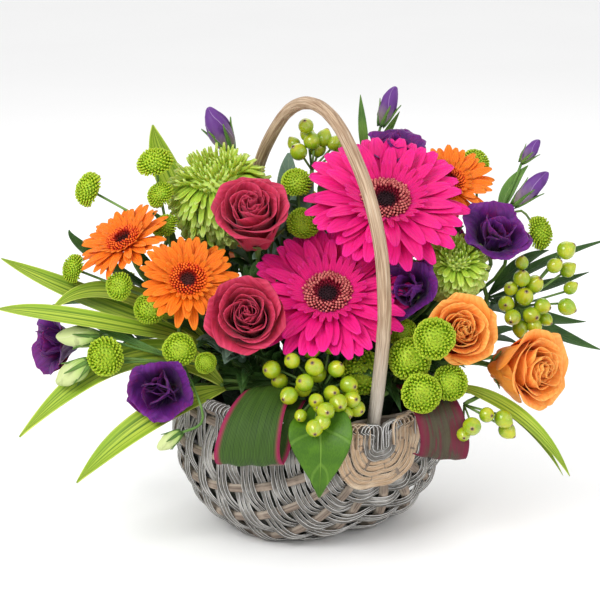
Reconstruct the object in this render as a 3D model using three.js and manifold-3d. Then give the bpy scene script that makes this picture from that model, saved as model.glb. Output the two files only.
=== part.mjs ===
// A flower basket arrangement: an oval ribbed willow basket with a hoop handle, a film liner and a block
// of wet floral foam, and the cut flowers, berries and leaves whose stems stand in holes in the foam.
// Millimetres, +Z up. The origin is on the table under the middle of the basket, and the front faces -Y.
import * as THREE from "three";
import { mergeVertices } from "three/addons/utils/BufferGeometryUtils.js";
import Module from "manifold-3d";

const wasm = await Module();
wasm.setup();

// Driving dimensions of the basket.
const BASKET_TURN = THREE.MathUtils.degToRad(32);
const BASKET_HALF_WIDTH = 80;
const EYE_HEIGHT = 80;
const BASKET_SECTION = [[0, -4], [36, -3.6], [61, 7], [79, 26], [89, 48], [92, 68], [88, 93]];
const WEAVE_THICK = 3.2;
const WEAVE_RELIEF = 1.9;
const WEAVER_BANDS = 11;
const RIBS = 9;
const BAND_SHARE = 0.6;
const RIB_SHARE = 0.5;
const EYE_SPAN = 0.17;
const RIM_RADIUS = 4.2;
const HANDLE_RADIUS = 4.9;
const HANDLE_HOOP = [
  [74, 58], [74, 84], [79, 112], [84, 145], [85, 170], [80, 205], [64, 240], [40, 268], [20, 281], [0, 285],
];
const FOAM_TOP = 96;
const FOAM_BOTTOM = 10;
const FOAM_HALF = [66, 48];
const STEM_DEPTH = 22;

// Clearance between neighbouring pieces, and round a stem in its hole in the foam.
const CLEAR = 0.35;

const V = (x, y, z) => new THREE.Vector3(x, y, z);
const UP = V(0, 0, 1);
const TURN = Math.PI * 2;
const GOLDEN = Math.PI * (3 - Math.sqrt(5));

// Places are read from the front: mm to the right of the middle, mm towards the viewer, mm above the table.
const seen = ([right, near, up]) => V(right, -near, up);

// A direction: degrees to the right of straight towards the viewer, and degrees above level.
function aim([right, up]) {
  const a = THREE.MathUtils.degToRad(right);
  const e = THREE.MathUtils.degToRad(up);
  return V(Math.sin(a) * Math.cos(e), -Math.cos(a) * Math.cos(e), Math.sin(e));
}

// A place whose own +Z points the way that a bloom faces.
function facing(at, towards) {
  const turn = new THREE.Quaternion().setFromUnitVectors(UP, aim(towards));
  return new THREE.Matrix4().compose(seen(at), turn, V(1, 1, 1));
}

function seeded(seed) {
  let state = seed * 7919 + 13;
  return () => {
    state = (state * 1103515245 + 12345) % 2147483648;
    return state / 2147483648;
  };
}

// Materials.
const finish = (color, roughness = 0.6) => new THREE.MeshStandardMaterial({ color, roughness, metalness: 0 });
const WILLOW = finish(0x8b857b, 0.85);
const HANDLE_WOOD = finish(0xa98d70, 0.75);
const FILM = finish(0x20241c, 0.3);
const FOAM = finish(0x35543a, 0.95);
const PINK = finish(0xf00a86, 0.5);
const ORANGE = finish(0xfb7a10, 0.5);
const EYE_DARK = finish(0x5b0d18, 0.7);
const EYE_RED = finish(0xd8380f, 0.7);
const CRIMSON = finish(0xb92645, 0.55);
const APRICOT = finish(0xfb923a, 0.5);
const PURPLE = finish(0x4c1173, 0.5);
const BUD = finish(0xb9c47d, 0.5);
const LIME = finish(0xa9cb1f, 0.55);
const SANTINI = finish(0x8cb81a, 0.6);
const BERRY = finish(0xb7bf1e, 0.3);
const STRIPED_LEAF = finish(0x9fbf20, 0.45);
const DARK_LEAF = finish(0x35602f, 0.45);
const GREY_LEAF = finish(0x6d8574, 0.6);
const BROAD_LEAF = finish(0x4c8c14, 0.35);
const MAROON_LEAF = finish(0x8a2f4c, 0.4);

// From a geometry to a solid with its faces out, and back.
function solidFrom(geometry) {
  const bare = new THREE.BufferGeometry().setAttribute("position", geometry.getAttribute("position"));
  bare.setIndex(geometry.index);
  const merged = mergeVertices(bare, 1e-4);
  const vertProperties = merged.getAttribute("position").array;
  const triVerts = new Uint32Array(merged.index.array);
  const made = new wasm.Manifold(new wasm.Mesh({ numProp: 3, vertProperties, triVerts }));
  if (made.volume() > 0) return made;
  const turnedOut = triVerts.slice().reverse();
  return new wasm.Manifold(new wasm.Mesh({ numProp: 3, vertProperties, triVerts: turnedOut }));
}

function geometryFrom(solid) {
  const mesh = solid.getMesh();
  const geometry = new THREE.BufferGeometry();
  geometry.setAttribute("position", new THREE.BufferAttribute(mesh.vertProperties, mesh.numProp));
  geometry.setIndex(new THREE.BufferAttribute(mesh.triVerts, 1));
  geometry.computeVertexNormals();
  return geometry;
}

// Everything placed so far, with the piece that it belongs to. Each new bit keeps clear of other pieces.
const placed = [];
const nodes = new Map();

const apart = (a, b) => [0, 1, 2].some((k) => a.min[k] > b.max[k] + CLEAR || b.min[k] > a.max[k] + CLEAR);

function isClear(name, solid, skip) {
  const box = solid.boundingBox();
  const gap = CLEAR * 0.999;
  const others = placed.filter((p) => p.name !== name && p.name !== skip && !apart(box, p.box));
  return others.every((p) => solid.minGap(p.solid, CLEAR) >= gap);
}

function put(name, solid) {
  placed.push({ name, solid, box: solid.boundingBox() });
}

// Tries each way of making a bit until one is clear of the other pieces. Where none is, the bit is left off.
function putClear(name, ways, make, skip) {
  for (const way of ways) {
    const solid = make(way);
    if (isClear(name, solid, skip)) {
      put(name, solid);
      return true;
    }
  }
  return false;
}

function piece(name, material, place = new THREE.Matrix4()) {
  nodes.set(name, { material, place });
  return name;
}

// A stem, twig, rib or rod: a prism whose rings stand at the points.
function rod(points, radius, sides = 4) {
  const last = points.length - 1;
  const geometry = new THREE.CylinderGeometry(1, 1, 1, sides, last);
  const at = geometry.getAttribute("position");
  for (let i = 0; i < at.count; i++) {
    const k = Math.round((at.getY(i) + 0.5) * last);
    const along = points[Math.min(k + 1, last)].clone().sub(points[Math.max(k - 1, 0)]).normalize();
    const across = V(0.31, 0.95, 0.05).cross(along).normalize();
    const other = across.clone().cross(along);
    const r = typeof radius === "function" ? radius(k / last) : radius;
    const p = points[k].clone();
    p.addScaledVector(across, at.getX(i) * r).addScaledVector(other, at.getZ(i) * r);
    at.setXYZ(i, p.x, p.y, p.z);
  }
  return solidFrom(geometry);
}

// A leaf, petal or quill: a three-sided cone moved so that it has two edges, a ridge below and a point.
function blade({ spine, width, thick, steps, face, cup = 0, blunt = 1.2 }) {
  const geometry = new THREE.ConeGeometry(1, 1, 3, steps);
  const at = geometry.getAttribute("position");
  const edge = Math.sin(Math.PI / 3);
  for (let i = 0; i < at.count; i++) {
    const ring = at.getY(i) + 0.5;
    const taper = Math.max(1 - ring, 1e-6);
    const side = ring < 0.999 ? at.getX(i) / taper / edge : 0;
    const low = ring < 0.999 ? at.getZ(i) / taper : 0;
    const t = 1 - Math.pow(Math.max(0, 1 - ring), blunt);
    const along = spine.getTangent(t);
    const across = face.clone().cross(along).normalize();
    const up = along.clone().cross(across);
    const lift = low > 0.5 ? -thick : Math.abs(side) > 0.5 ? cup * width(t) : -thick / 3;
    const p = spine.getPoint(t).addScaledVector(across, (side * width(t)) / 2).addScaledVector(up, lift);
    at.setXYZ(i, p.x, p.y, p.z);
  }
  return solidFrom(geometry);
}

// A thin closed sheet: two grids split into triangles alike, joined round their border and round each cell
// that is left open.
function sheet(columns, rows, place, isOpen = () => false) {
  const plane = new THREE.PlaneGeometry(1, 1, columns, rows);
  const grid = plane.getAttribute("position");
  const count = grid.count;
  const points = [];
  for (const inner of [0, 1])
    for (let i = 0; i < count; i++) {
      points.push(...place(grid.getX(i) + 0.5, grid.getY(i) + 0.5, inner).toArray());
    }
  const faces = [];
  const corners = plane.index.array;
  const id = (column, row) => row * (columns + 1) + column;
  const joinRound = (loop) => {
    loop.forEach((p, i) => {
      const q = loop[(i + 1) % loop.length];
      faces.push(q, p, count + p, q, count + p, count + q);
    });
  };
  for (let i = 0; i < corners.length; i += 3) {
    const column = Math.floor(i / 6) % columns;
    const row = Math.floor(i / 6 / columns);
    const [a, b, c] = corners.slice(i, i + 3);
    if (!isOpen(column, row)) faces.push(a, b, c, count + a, count + c, count + b);
    else if (i % 6 === 0) {
      joinRound([id(column, row), id(column + 1, row), id(column + 1, row + 1), id(column, row + 1)]);
    }
  }
  const border = [];
  for (let r = 0; r < rows; r++) border.push(id(0, r));
  for (let c = 0; c < columns; c++) border.push(id(c, rows));
  for (let r = rows; r > 0; r--) border.push(id(columns, r));
  for (let c = columns; c > 0; c--) border.push(id(c, 0));
  joinRound(border);
  const geometry = new THREE.BufferGeometry();
  geometry.setAttribute("position", new THREE.Float32BufferAttribute(points, 3));
  geometry.setIndex(faces);
  return solidFrom(geometry);
}

const moved = (solid, matrix) => solid.transform(matrix.elements);
const about = (angle) => new THREE.Matrix4().makeRotationZ(angle);

// The basket's wall: weavers run across the ribs, and the ribs run from the front eye to the back eye.
const basketTurn = new THREE.Matrix4().makeRotationZ(BASKET_TURN);
const section = new THREE.CatmullRomCurve3(BASKET_SECTION.map(([x, z]) => V(x, 0, z)), false, "centripetal");

// s runs from the front eye to the back eye, and w from the left rim (-1) round below to the right rim (1).
function wall(s, w) {
  const across = section.getPoint(Math.abs(w));
  const swell = Math.sin(Math.PI * s);
  return V(
    Math.sign(w) * across.x * Math.pow(swell, 0.85),
    -BASKET_HALF_WIDTH * Math.cos(Math.PI * s),
    EYE_HEIGHT + (across.z - EYE_HEIGHT) * Math.pow(swell, 0.75),
  );
}

function wallOffset(s, w, out) {
  const step = 0.004;
  const along = wall(Math.min(s + step, 0.999), w).sub(wall(Math.max(s - step, 0.001), w));
  const across = wall(s, Math.min(w + step, 1)).sub(wall(s, Math.max(w - step, -1)));
  return wall(s, w).addScaledVector(along.cross(across).normalize(), out);
}

// The edges of evenly spaced bars, from 0 to 1. Bar k lies between edge 2k and edge 2k + 1.
const barEdge = (edge, bars, share) => (Math.floor(edge / 2) + (edge % 2 ? share : 0)) / (bars - 1 + share);

// Each band goes over a rib and under the next. The sides are open between the bands and the ribs.
function addWeave() {
  const name = piece("basket_weave", WILLOW, basketTurn);
  const rows = WEAVER_BANDS * 2 - 1;
  const columns = RIBS * 2 - 1;
  const reach = 0.985;
  const place = (u, v, inner) => {
    const row = Math.round(v * rows);
    const column = Math.round(u * columns);
    const s = EYE_SPAN + 0.005 + barEdge(row, WEAVER_BANDS, BAND_SHARE) * (1 - 2 * EYE_SPAN - 0.01);
    const w = (barEdge(column, RIBS, RIB_SHARE) * 2 - 1) * reach;
    const over = (Math.floor(row / 2) + Math.floor(column / 2)) % 2 ? 1 : -0.2;
    const p = wallOffset(s, w, inner ? -WEAVE_THICK : over * WEAVE_RELIEF);
    p.z = Math.max(p.z, inner ? WEAVE_THICK : 0);
    return p;
  };
  const underside = (column) => Math.abs(column - (columns - 1) / 2) < 2;
  const isOpen = (column, row) => column % 2 === 1 && row % 2 === 1 && !underside(column);
  put(name, moved(sheet(columns, rows, place, isOpen), basketTurn));
}

function hoopPoints() {
  const leg = HANDLE_HOOP.map(([y, z]) => V(0, -y, z));
  const back = HANDLE_HOOP.slice(0, -1).reverse().map(([y, z]) => V(0, y, z));
  return [...leg, ...back];
}

// The handle is a peeled rod, thicker at the front, where its butt end is.
function addHandle() {
  const name = piece("basket_handle", HANDLE_WOOD, basketTurn);
  const hoop = new THREE.CatmullRomCurve3(hoopPoints());
  const taper = (t) => HANDLE_RADIUS * (1 - 0.26 * t);
  put(name, moved(rod(hoop.getPoints(20), taper, 6), basketTurn));
}

// The rim hoop is bound by the weavers that turn over it, and its two eyes bind the handle to it.
function addRim() {
  const name = piece("basket_rim", WILLOW, basketTurn);
  const turns = 32;
  const ring = new THREE.TorusGeometry(1, 0.1, 5, turns);
  const at = ring.getAttribute("position");
  for (let i = 0; i < at.count; i++) {
    const round = Math.atan2(at.getY(i), at.getX(i));
    const out = (Math.hypot(at.getX(i), at.getY(i)) - 1) / 0.1;
    const lift = at.getZ(i) / 0.1;
    const half = Math.abs(Math.cos(round));
    const r = RIM_RADIUS * (Math.round((round / TURN) * turns) % 2 ? 1 : 0.84);
    const x = Math.sign(Math.cos(round)) * section.getPoint(1).x * Math.pow(half, 0.85);
    const behindHandle = 14.5 * Math.exp(-((x / 17) ** 2));
    const y = (BASKET_HALF_WIDTH - 0.5 - behindHandle) * Math.sin(round);
    const rimHeight = EYE_HEIGHT + (section.getPoint(1).z - EYE_HEIGHT) * Math.pow(half, 0.75);
    const z = rimHeight + RIM_RADIUS * 0.81 + 0.2;
    at.setXYZ(i, x + Math.cos(round) * out * r, y + Math.sin(round) * out * r, z + lift * r);
  }
  let bound = solidFrom(ring);
  for (const front of [true, false]) {
    const pad = sheet(6, 6, (u, v, inner) => {
      const s = 0.014 + v * (EYE_SPAN - 0.014);
      const w = (u * 2 - 1) * (0.5 + 0.48 * v);
      const ridge = 2 - 1.2 * v + (Math.round(v * 6) % 2 ? 0.9 : 0);
      const p = wallOffset(s, w, inner ? -14 + 9 * v : ridge);
      if (u === 0 || u === 1) p.z += 3.5;
      return front ? p : V(-p.x, -p.y, p.z);
    });
    bound = bound.add(pad);
  }
  const hoop = new THREE.CatmullRomCurve3(hoopPoints());
  const socket = rod(hoop.getPoints(20), (t) => HANDLE_RADIUS * (1 - 0.26 * t) + CLEAR + 0.1, 6);
  put(name, moved(bound.subtract(socket), basketTurn));
}

// The film liner and the foam are tapered ovals, one inside the other.
function oval(halfX, halfY, low, high, shrink, sides) {
  const geometry = new THREE.CylinderGeometry(1, shrink, high - low, sides, 1);
  geometry.rotateX(Math.PI / 2).scale(halfX, halfY, 1).translate(0, 0, (low + high) / 2);
  return solidFrom(geometry);
}

function addLiner() {
  const name = piece("film_liner", FILM, basketTurn);
  const [x, y] = FOAM_HALF;
  const cup = oval(x + 2, y + 2, FOAM_BOTTOM - 4.95, FOAM_TOP - 5, 0.62, 14);
  const hollow = oval(x + 1, y + 1, FOAM_BOTTOM - CLEAR, FOAM_TOP + 5, 0.62, 14);
  put(name, moved(cup.subtract(hollow), basketTurn));
}

const holes = [];
function guardFoam() {
  const [x, y] = FOAM_HALF;
  put("floral_foam", moved(oval(x - 0.4, y - 0.4, FOAM_BOTTOM, FOAM_TOP, 0.62, 14), basketTurn));
}

function addFoam() {
  const name = piece("floral_foam", FOAM, basketTurn);
  const [x, y] = FOAM_HALF;
  let block = moved(oval(x - 0.4, y - 0.4, FOAM_BOTTOM, FOAM_TOP, 0.62, 14), basketTurn);
  for (const { at, radius } of holes) {
    const drill = new THREE.CylinderGeometry(radius + 1.1, radius + 1.1, STEM_DEPTH + 10, 4);
    drill.rotateX(Math.PI / 2).translate(at.x, at.y, FOAM_TOP + 10 - (STEM_DEPTH + 10) / 2 - CLEAR);
    block = block.subtract(solidFrom(drill));
  }
  placed.splice(placed.findIndex((p) => p.name === name), 1);
  put(name, block);
}

// Where a stem may stand in the foam: under its bloom first, then drawn in to the middle and round it.
function feetFor(head, radius) {
  const [x, y] = FOAM_HALF;
  const from = Math.atan2(head.y, head.x);
  const reach = Math.min(1, 0.25 + Math.hypot(head.x / 150, head.y / 90) * 0.62);
  const feet = [];
  for (const drawn of [0, 0.16, 0.32, 0.48, 0.64, 0.8, -0.16])
    for (const side of [0, 9, -9, 18, -18, 30, -30]) {
      const angle = from + THREE.MathUtils.degToRad(side);
      const share = THREE.MathUtils.clamp(reach - drawn, 0.05, 1);
      const flat = V(Math.cos(angle - BASKET_TURN) / x, Math.sin(angle - BASKET_TURN) / y, 0).length();
      const foot = V(Math.cos(angle), Math.sin(angle), 0).multiplyScalar((share * 0.88) / flat);
      if (holes.every((h) => h.at.distanceTo(foot) > h.radius + radius + 2.3)) feet.push(foot);
    }
  return feet;
}

// A stem from its hole in the foam to a bloom's base, bent clear of what stands in its way.
function stemTo(name, base, towards, radius, sides = 3) {
  const across = base.clone().setZ(0).cross(UP).normalize();
  const ways = [];
  for (const foot of feetFor(base, radius))
    for (const share of [0.3, 0.15, 0.5])
      for (const side of [0, 6, -6, 13, -13, 22, -22])
        for (const rise of [0, 9, -9]) ways.push({ foot, share, side, rise });
  let used;
  const bend = (way) => {
    used = way.foot;
    const low = V(used.x, used.y, FOAM_TOP - STEM_DEPTH);
    const mouth = V(used.x, used.y, FOAM_TOP + 4);
    const knee = base.clone().addScaledVector(towards, -base.distanceTo(mouth) * way.share);
    knee.addScaledVector(across, way.side);
    knee.z = Math.max(knee.z + way.rise, FOAM_TOP + 7);
    return rod([low, mouth, knee, base], radius, sides);
  };
  if (!putClear(name, ways, bend, "floral_foam")) put(name, bend(ways[0]));
  holes.push({ at: used, radius });
}

// Joins two rows of corners with triangles. Up-facing where up is true.
function strip(faces, a, b, up) {
  let i = 0;
  let j = 0;
  while (i < a.length - 1 || j < b.length - 1) {
    const lead = (j + 0.5) / (b.length - 1) < (i + 0.5) / (a.length - 1);
    const alongB = i === a.length - 1 || (j < b.length - 1 && lead);
    const third = alongB ? b[j + 1] : a[i + 1];
    faces.push(...(up ? [a[i], b[j], third] : [a[i], third, b[j]]));
    if (alongB) j++;
    else i++;
  }
}

// A petal's lower face, upper face and edge, from the two corners of its foot outwards.
function petalFaces(faces, low, high, closed) {
  for (let row = 0; row + 1 < low.length; row++) {
    strip(faces, low[row], low[row + 1], false);
    strip(faces, high[row], high[row + 1], true);
  }
  const edge = (rows) => {
    const tip = rows[rows.length - 1];
    const left = rows.slice(0, -1).map((r) => r[0]);
    const right = rows.slice(0, -1).map((r) => r[r.length - 1]).reverse();
    return [...left, ...tip, ...right];
  };
  const below = edge(low);
  const above = edge(high);
  const count = closed ? below.length : below.length - 1;
  for (let i = 0; i < count; i++) {
    const j = (i + 1) % below.length;
    faces.push(below[i], below[j], above[i], below[j], above[j], above[i]);
  }
}

const polar = (angle, out, across, height) => V(out, across, height).applyAxisAngle(UP, angle);

function meshSolid(points, faces) {
  const geometry = new THREE.BufferGeometry();
  const numbers = points.flatMap((p) => p.toArray());
  geometry.setAttribute("position", new THREE.Float32BufferAttribute(numbers, 3));
  geometry.setIndex(faces);
  return solidFrom(geometry);
}

// A bloom as one closed body: rings of petals stepped in towards the middle, each turned by half a petal.
// Each petal takes the first way of bending that is clear of the other pieces and of its own neighbours.
function whorls(name, place, count, rings, floor, crown, ways) {
  const points = [V(0, 0, floor), V(0, 0, crown)];
  const faces = [];
  const own = [];
  let inward;
  rings.forEach((ring, k) => {
    const angleOf = (i) => ((i + k / 2) / count) * TURN;
    const footAt = (i, high) => {
      const [back, rise] = high ? ring.back : [0, 0];
      return polar(angleOf(i), ring.foot[0] + back, 0, ring.foot[1] + rise);
    };
    const outline = (i, way, high) => ring.rows.map(({ at: [r, z], half, corners, bulge = 0 }) => {
      const reach = (r - ring.foot[0]) * way.fit;
      const low = ring.foot[0] + reach * way.close;
      const out = low + (high ? ring.back[0] : 0);
      const up = ring.foot[1] + (z - ring.foot[1]) * way.fit + reach * way.lift + (high ? ring.back[1] : 0);
      const sides = corners === 1 ? [0] : corners === 2 ? [-1, 1] : [-1, 0, 1];
      const wide = Math.min(half, low * Math.tan(Math.PI / count) * 0.97) * (out / low);
      return sides.map((u) => polar(angleOf(i + 0.5), out + bulge * way.fit * (1 - u * u), u * wide, up));
    });
    const standIn = (i, way) => {
      const corners = [];
      const sides = [];
      const ids = (rows) => rows.map((row) => row.map((p) => corners.push(p) - 1));
      const rowsOf = (high) => ids([[footAt(i, high), footAt(i + 1, high)], ...outline(i, way, high)]);
      petalFaces(sides, rowsOf(false), rowsOf(true), true);
      return moved(meshSolid(corners, sides), place);
    };
    const start = points.length;
    for (const high of [false, true]) for (let i = 0; i < count; i++) points.push(footAt(i, high));
    const foot = (i, high) => start + (high ? count : 0) + (i % count);
    for (let i = 0; i < count; i++) {
      const next = foot(i + 1, false);
      if (k === 0) faces.push(0, next, foot(i, false));
      else faces.push(foot(i, false), inward(i), inward(i + 1), foot(i, false), inward(i + 1), next);
      let body;
      const way = ways.find((w) => {
        body = standIn(i, w);
        return isClear(name, body) && own.every((o) => o.intersect(body).volume() < 1e-3);
      });
      if (way) own.push(body);
      const taken = way ?? ways[ways.length - 1];
      const ids = (rows) => rows.map((row) => row.map((p) => points.push(p) - 1));
      const rowsOf = (high) => [[foot(i, high), foot(i + 1, high)], ...ids(outline(i, taken, high))];
      petalFaces(faces, rowsOf(false), rowsOf(true), false);
    }
    inward = (i) => foot(i, true);
  });
  for (let i = 0; i < count; i++) faces.push(1, inward(i), inward(i + 1));
  put(name, moved(meshSolid(points, faces), place));
}

const fits = [1, 0.86, 0.72, 0.58, 0.44, 0.3, 0.18, 0.1];
const lifts = [0, 0.12, -0.14, 0.28, -0.3, 0.5, -0.5, 0.8, 1.2];
const closings = [1, 0.9, 0.8, 0.7, 0.58];
const OPEN_WAYS = fits.flatMap((fit) => lifts.map((lift) => ({ fit, lift, close: 1 })));
const CUP_WAYS = fits.flatMap((fit) => closings.map((close) => ({ fit, lift: 0, close })));

// A gerbera: two rings of strap petals on a leafless stem, and a domed eye of small florets on top.
function addGerbera(name, at, towards, { size, eye, count, petalInk, eyeInk, lift }) {
  const place = facing(at, towards);
  const r = size / 2;
  const ringName = piece(name + "_petals", petalInk, place);
  const eyeName = piece(name + "_eye", eyeInk, place);
  const dome = new THREE.SphereGeometry(eye, 10, 5);
  const dot = dome.getAttribute("position");
  for (let i = 0; i < dot.count; i++) {
    const p = V(dot.getX(i), dot.getZ(i), dot.getY(i));
    const flat = Math.hypot(p.x, p.y) / eye;
    const spoke = Math.round((Math.atan2(p.y, p.x) / TURN) * 10);
    const grain = flat > 0.3 ? 1 + 0.07 * (spoke % 2 ? 1 : -1) : 1;
    const height = p.z < -0.1 ? -1.1 : 0.6 + 3.2 * Math.sin(Math.min(flat, 1) * 2.6);
    dot.setXYZ(i, p.x * grain, p.y * grain, height);
  }
  put(eyeName, moved(solidFrom(dome), place));
  const wide = (reach) => ((TURN * r * reach) / count) * 0.46;
  const strap = (foot, low, reach) => ({
    foot: [foot, low],
    back: [0, 1.1],
    rows: [
      { at: [r * reach * 0.78, low + r * lift * 0.7], half: wide(0.74 * reach) * 0.97, corners: 2 },
      { at: [r * reach, low + r * lift * 1.05], half: 0, corners: 1 },
    ],
  });
  const rings = [strap(eye * 0.86, -5.4, 1), strap(eye * 0.74, -3, 0.8)];
  whorls(ringName, place, count, rings, -7.4, -1.6, OPEN_WAYS);
  const face = aim(towards);
  stemTo(ringName, V(0, 0, -6).applyMatrix4(place), face, 2.1, 4);
}

// A rose: three rings of cupped petals round a pointed heart, on a hip and a stem.
function addRose(name, at, towards, { size, depth, ink }) {
  const place = facing(at, towards);
  piece(name, ink, place);
  const r = size / 2;
  const cup = (foot, waist, lip, high, flare, corners) => {
    const half = (out) => r * out * Math.sin(Math.PI / 5) * 0.93;
    const bulge = (out) => r * out * 0.16;
    return {
      foot: [r * foot, -depth * 0.46],
      back: [-1.15, 0.1],
      rows: [
        { at: [r * waist * 0.84, -depth * 0.16], half: half(waist), corners: 3, bulge: bulge(waist) },
        { at: [r * (lip + flare) * 0.86, depth * high], half: half(lip) * 0.72, corners, bulge: bulge(lip) },
      ],
    };
  };
  const rings = [
    cup(0.42, 0.93, 0.9, 0.26, 0.14, 3),
    cup(0.3, 0.68, 0.68, 0.38, 0.05, 2),
    cup(0.19, 0.42, 0.4, 0.47, 0, 1),
  ];
  whorls(name, place, 5, rings, -depth * 0.62, depth * 0.36, CUP_WAYS);
  stemTo(name, V(0, 0, -depth * 0.56).applyMatrix4(place), aim(towards), 2);
}

// A lisianthus bloom: five broad petals in an open cup.
function addLisianthus(name, at, towards, { size, open = 1 }) {
  const place = facing(at, towards);
  piece(name, PURPLE, place);
  const r = size / 2;
  const depth = size * 0.9;
  const half = r * Math.sin(Math.PI / 5);
  const ring = {
    foot: [r * 0.3, -depth * 0.42],
    back: [-1.1, 0.2],
    rows: [
      { at: [r * 0.66, -depth * 0.08], half: half * 0.72, corners: 3, bulge: r * 0.1 },
      { at: [r * 0.92 * open, depth * 0.24], half: half * 0.8, corners: 3, bulge: r * 0.12 },
    ],
  };
  whorls(name, place, 5, [ring], -depth * 0.56, -depth * 0.2, CUP_WAYS);
  stemTo(name, V(0, 0, -depth * 0.5).applyMatrix4(place), aim(towards), 1.5);
}

// A bud from its calyx to its tip, pointed and a little twisted.
function budSolid(base, tip, thick) {
  const long = base.distanceTo(tip);
  const geometry = new THREE.SphereGeometry(1, 6, 4).rotateX(Math.PI / 2);
  const at = geometry.getAttribute("position");
  for (let i = 0; i < at.count; i++) {
    const t = (at.getZ(i) + 1) / 2;
    const slim = (thick / 2) * (t > 0.6 ? 0.78 : 1);
    at.setXYZ(i, at.getX(i) * slim, at.getY(i) * slim, t * long);
  }
  const turn = new THREE.Quaternion().setFromUnitVectors(UP, tip.clone().sub(base).normalize());
  return moved(solidFrom(geometry), new THREE.Matrix4().compose(base, turn, V(1, 1, 1)));
}

// A large chrysanthemum: rings of pointed quills that stand out all over a dome.
function addChrysanthemum(name, at, towards, { size, tall, count, leans, ink }) {
  const place = facing(at, towards);
  piece(name, ink, place);
  const r = size / 2;
  const rings = leans.map((degrees, k) => {
    const lean = THREE.MathUtils.degToRad(degrees);
    const foot = [Math.sin(lean) * r * 0.56, Math.cos(lean) * tall * 0.36];
    const out = [Math.sin(lean), Math.cos(lean)];
    const long = r * 0.5;
    const half = ((TURN * (foot[0] + out[0] * long * 0.5)) / count) * 0.34;
    const along = (share) => [foot[0] + out[0] * long * share, foot[1] + out[1] * long * share];
    const [tipOut, tipUp] = along(0.9);
    return {
      foot,
      back: [-out[1] * 1.5, out[0] * 1.5],
      rows: [
        { at: along(0.6), half: Math.max(half, 1), corners: 2 },
        { at: [tipOut, tipUp + 3], half: 0, corners: 1 },
      ],
    };
  });
  whorls(name, place, count, rings, -tall * 0.34, tall * 0.42, OPEN_WAYS);
  stemTo(name, V(0, 0, -tall * 0.28).applyMatrix4(place), aim(towards), 2.2);
}

// A button head of a santini: a squat ball whose florets stand out in relief.
function buttonHead(at, towards, size) {
  const ball = new THREE.SphereGeometry(1, 8, 4).rotateX(Math.PI / 2);
  const dot = ball.getAttribute("position");
  for (let i = 0; i < dot.count; i++) {
    const p = V(dot.getX(i), dot.getY(i), dot.getZ(i));
    const column = Math.round((Math.atan2(p.y, p.x) / TURN) * 8);
    const row = Math.round((Math.acos(THREE.MathUtils.clamp(p.z, -1, 1)) / Math.PI) * 4);
    const pole = row === 0 || row === 4;
    const grain = pole ? 0.92 : (column + row) % 2 ? 1.04 : 0.9;
    p.multiplyScalar(grain * size);
    dot.setXYZ(i, p.x * 0.5, p.y * 0.5, p.z * (p.z > 0 ? 0.36 : 0.3));
  }
  return moved(solidFrom(ball), facing(at, towards));
}

// Small moves that a button head tries, up and down and to either side.
const HEAD_MOVES = [
  [0, 0], [2, 0], [-2, 0], [0, 2], [0, -2], [4, 0], [-4, 0], [0, 4], [0, -4], [5, 5], [-5, -5],
  [7, 0], [-7, 0], [0, 7], [0, -7],
];

// A spray of santini: heads on side stems that leave one main stem.
function addSantini(name, fork, heads) {
  piece(name, SANTINI);
  const joint = seen(fork);
  for (const [at, towards, size] of heads) {
    const face = aim(towards);
    const side = face.clone().cross(UP).normalize();
    const ways = HEAD_MOVES.flatMap(([a, b]) => [{ a, b, s: 1 }, { a, b, s: 0.86 }]);
    let head;
    const made = ({ a, b, s }) => {
      head = seen(at).addScaledVector(side, a).addScaledVector(side.clone().cross(face), b);
      return buttonHead([head.x, -head.y, head.z], towards, size * s);
    };
    if (!putClear(name, ways, made)) continue;
    twig(name, joint, head.clone().addScaledVector(face, -size * 0.1), face, 0.9);
  }
  stemTo(name, joint.clone().add(V(0, 0, 1)), UP, 1.5);
}

// The joint that the side stems or leaves of a spray leave from, moved a little where the place is taken.
function knot(name, joint, radius) {
  const from = joint.clone();
  const steps = [0, 3, -3, 6, -6, 10, -10];
  const ways = steps.flatMap((x) => steps.flatMap((y) => steps.map((z) => V(x, y, z))));
  ways.sort((a, b) => a.length() - b.length());
  const made = (shift) => {
    joint.copy(from).add(shift);
    return solidFrom(new THREE.IcosahedronGeometry(radius, 0).translate(joint.x, joint.y, joint.z));
  };
  putClear(name, ways, made);
}

// A thin side stem from a joint to a head, bent clear.
function twig(name, from, to, face, radius) {
  const gap = from.distanceTo(to);
  const across = to.clone().sub(from).cross(UP).normalize();
  const ways = [{ straight: true }];
  for (const share of [0.35, 0.2, 0.5, 0.7])
    for (const side of [0, 4, -4, 9, -9, 15, -15, 22, -22])
      for (const rise of [0, 7, -7, 14, -14]) ways.push({ share, side, rise });
  const bend = ({ straight, share, side, rise }) => {
    if (straight) return rod([from, to], radius, 3);
    const knee = to.clone().addScaledVector(face, -gap * share).addScaledVector(across, side);
    knee.z += rise;
    return rod([from, knee, to], radius, 3);
  };
  if (!putClear(name, ways, bend)) put(name, bend(ways[0]));
}

// Small moves that a berry tries: to the right, towards the viewer and up.
const BERRY_MOVES = [
  [0, 0, 0], [0, 2, 0], [1.5, 0, 1.5], [-1.5, 0, 1.5], [0, 3.5, 1], [2, 2, -2], [-2, 2, -2], [0, 5, 0],
  [3, 0, 3], [-3, 0, 3], [0, 4, -4], [0, 8, -2], [4, 6, 0], [-4, 6, 0], [0, 9, -6], [0, 12, -4],
  [6, 4, -6], [-6, 4, -6],
];

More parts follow.
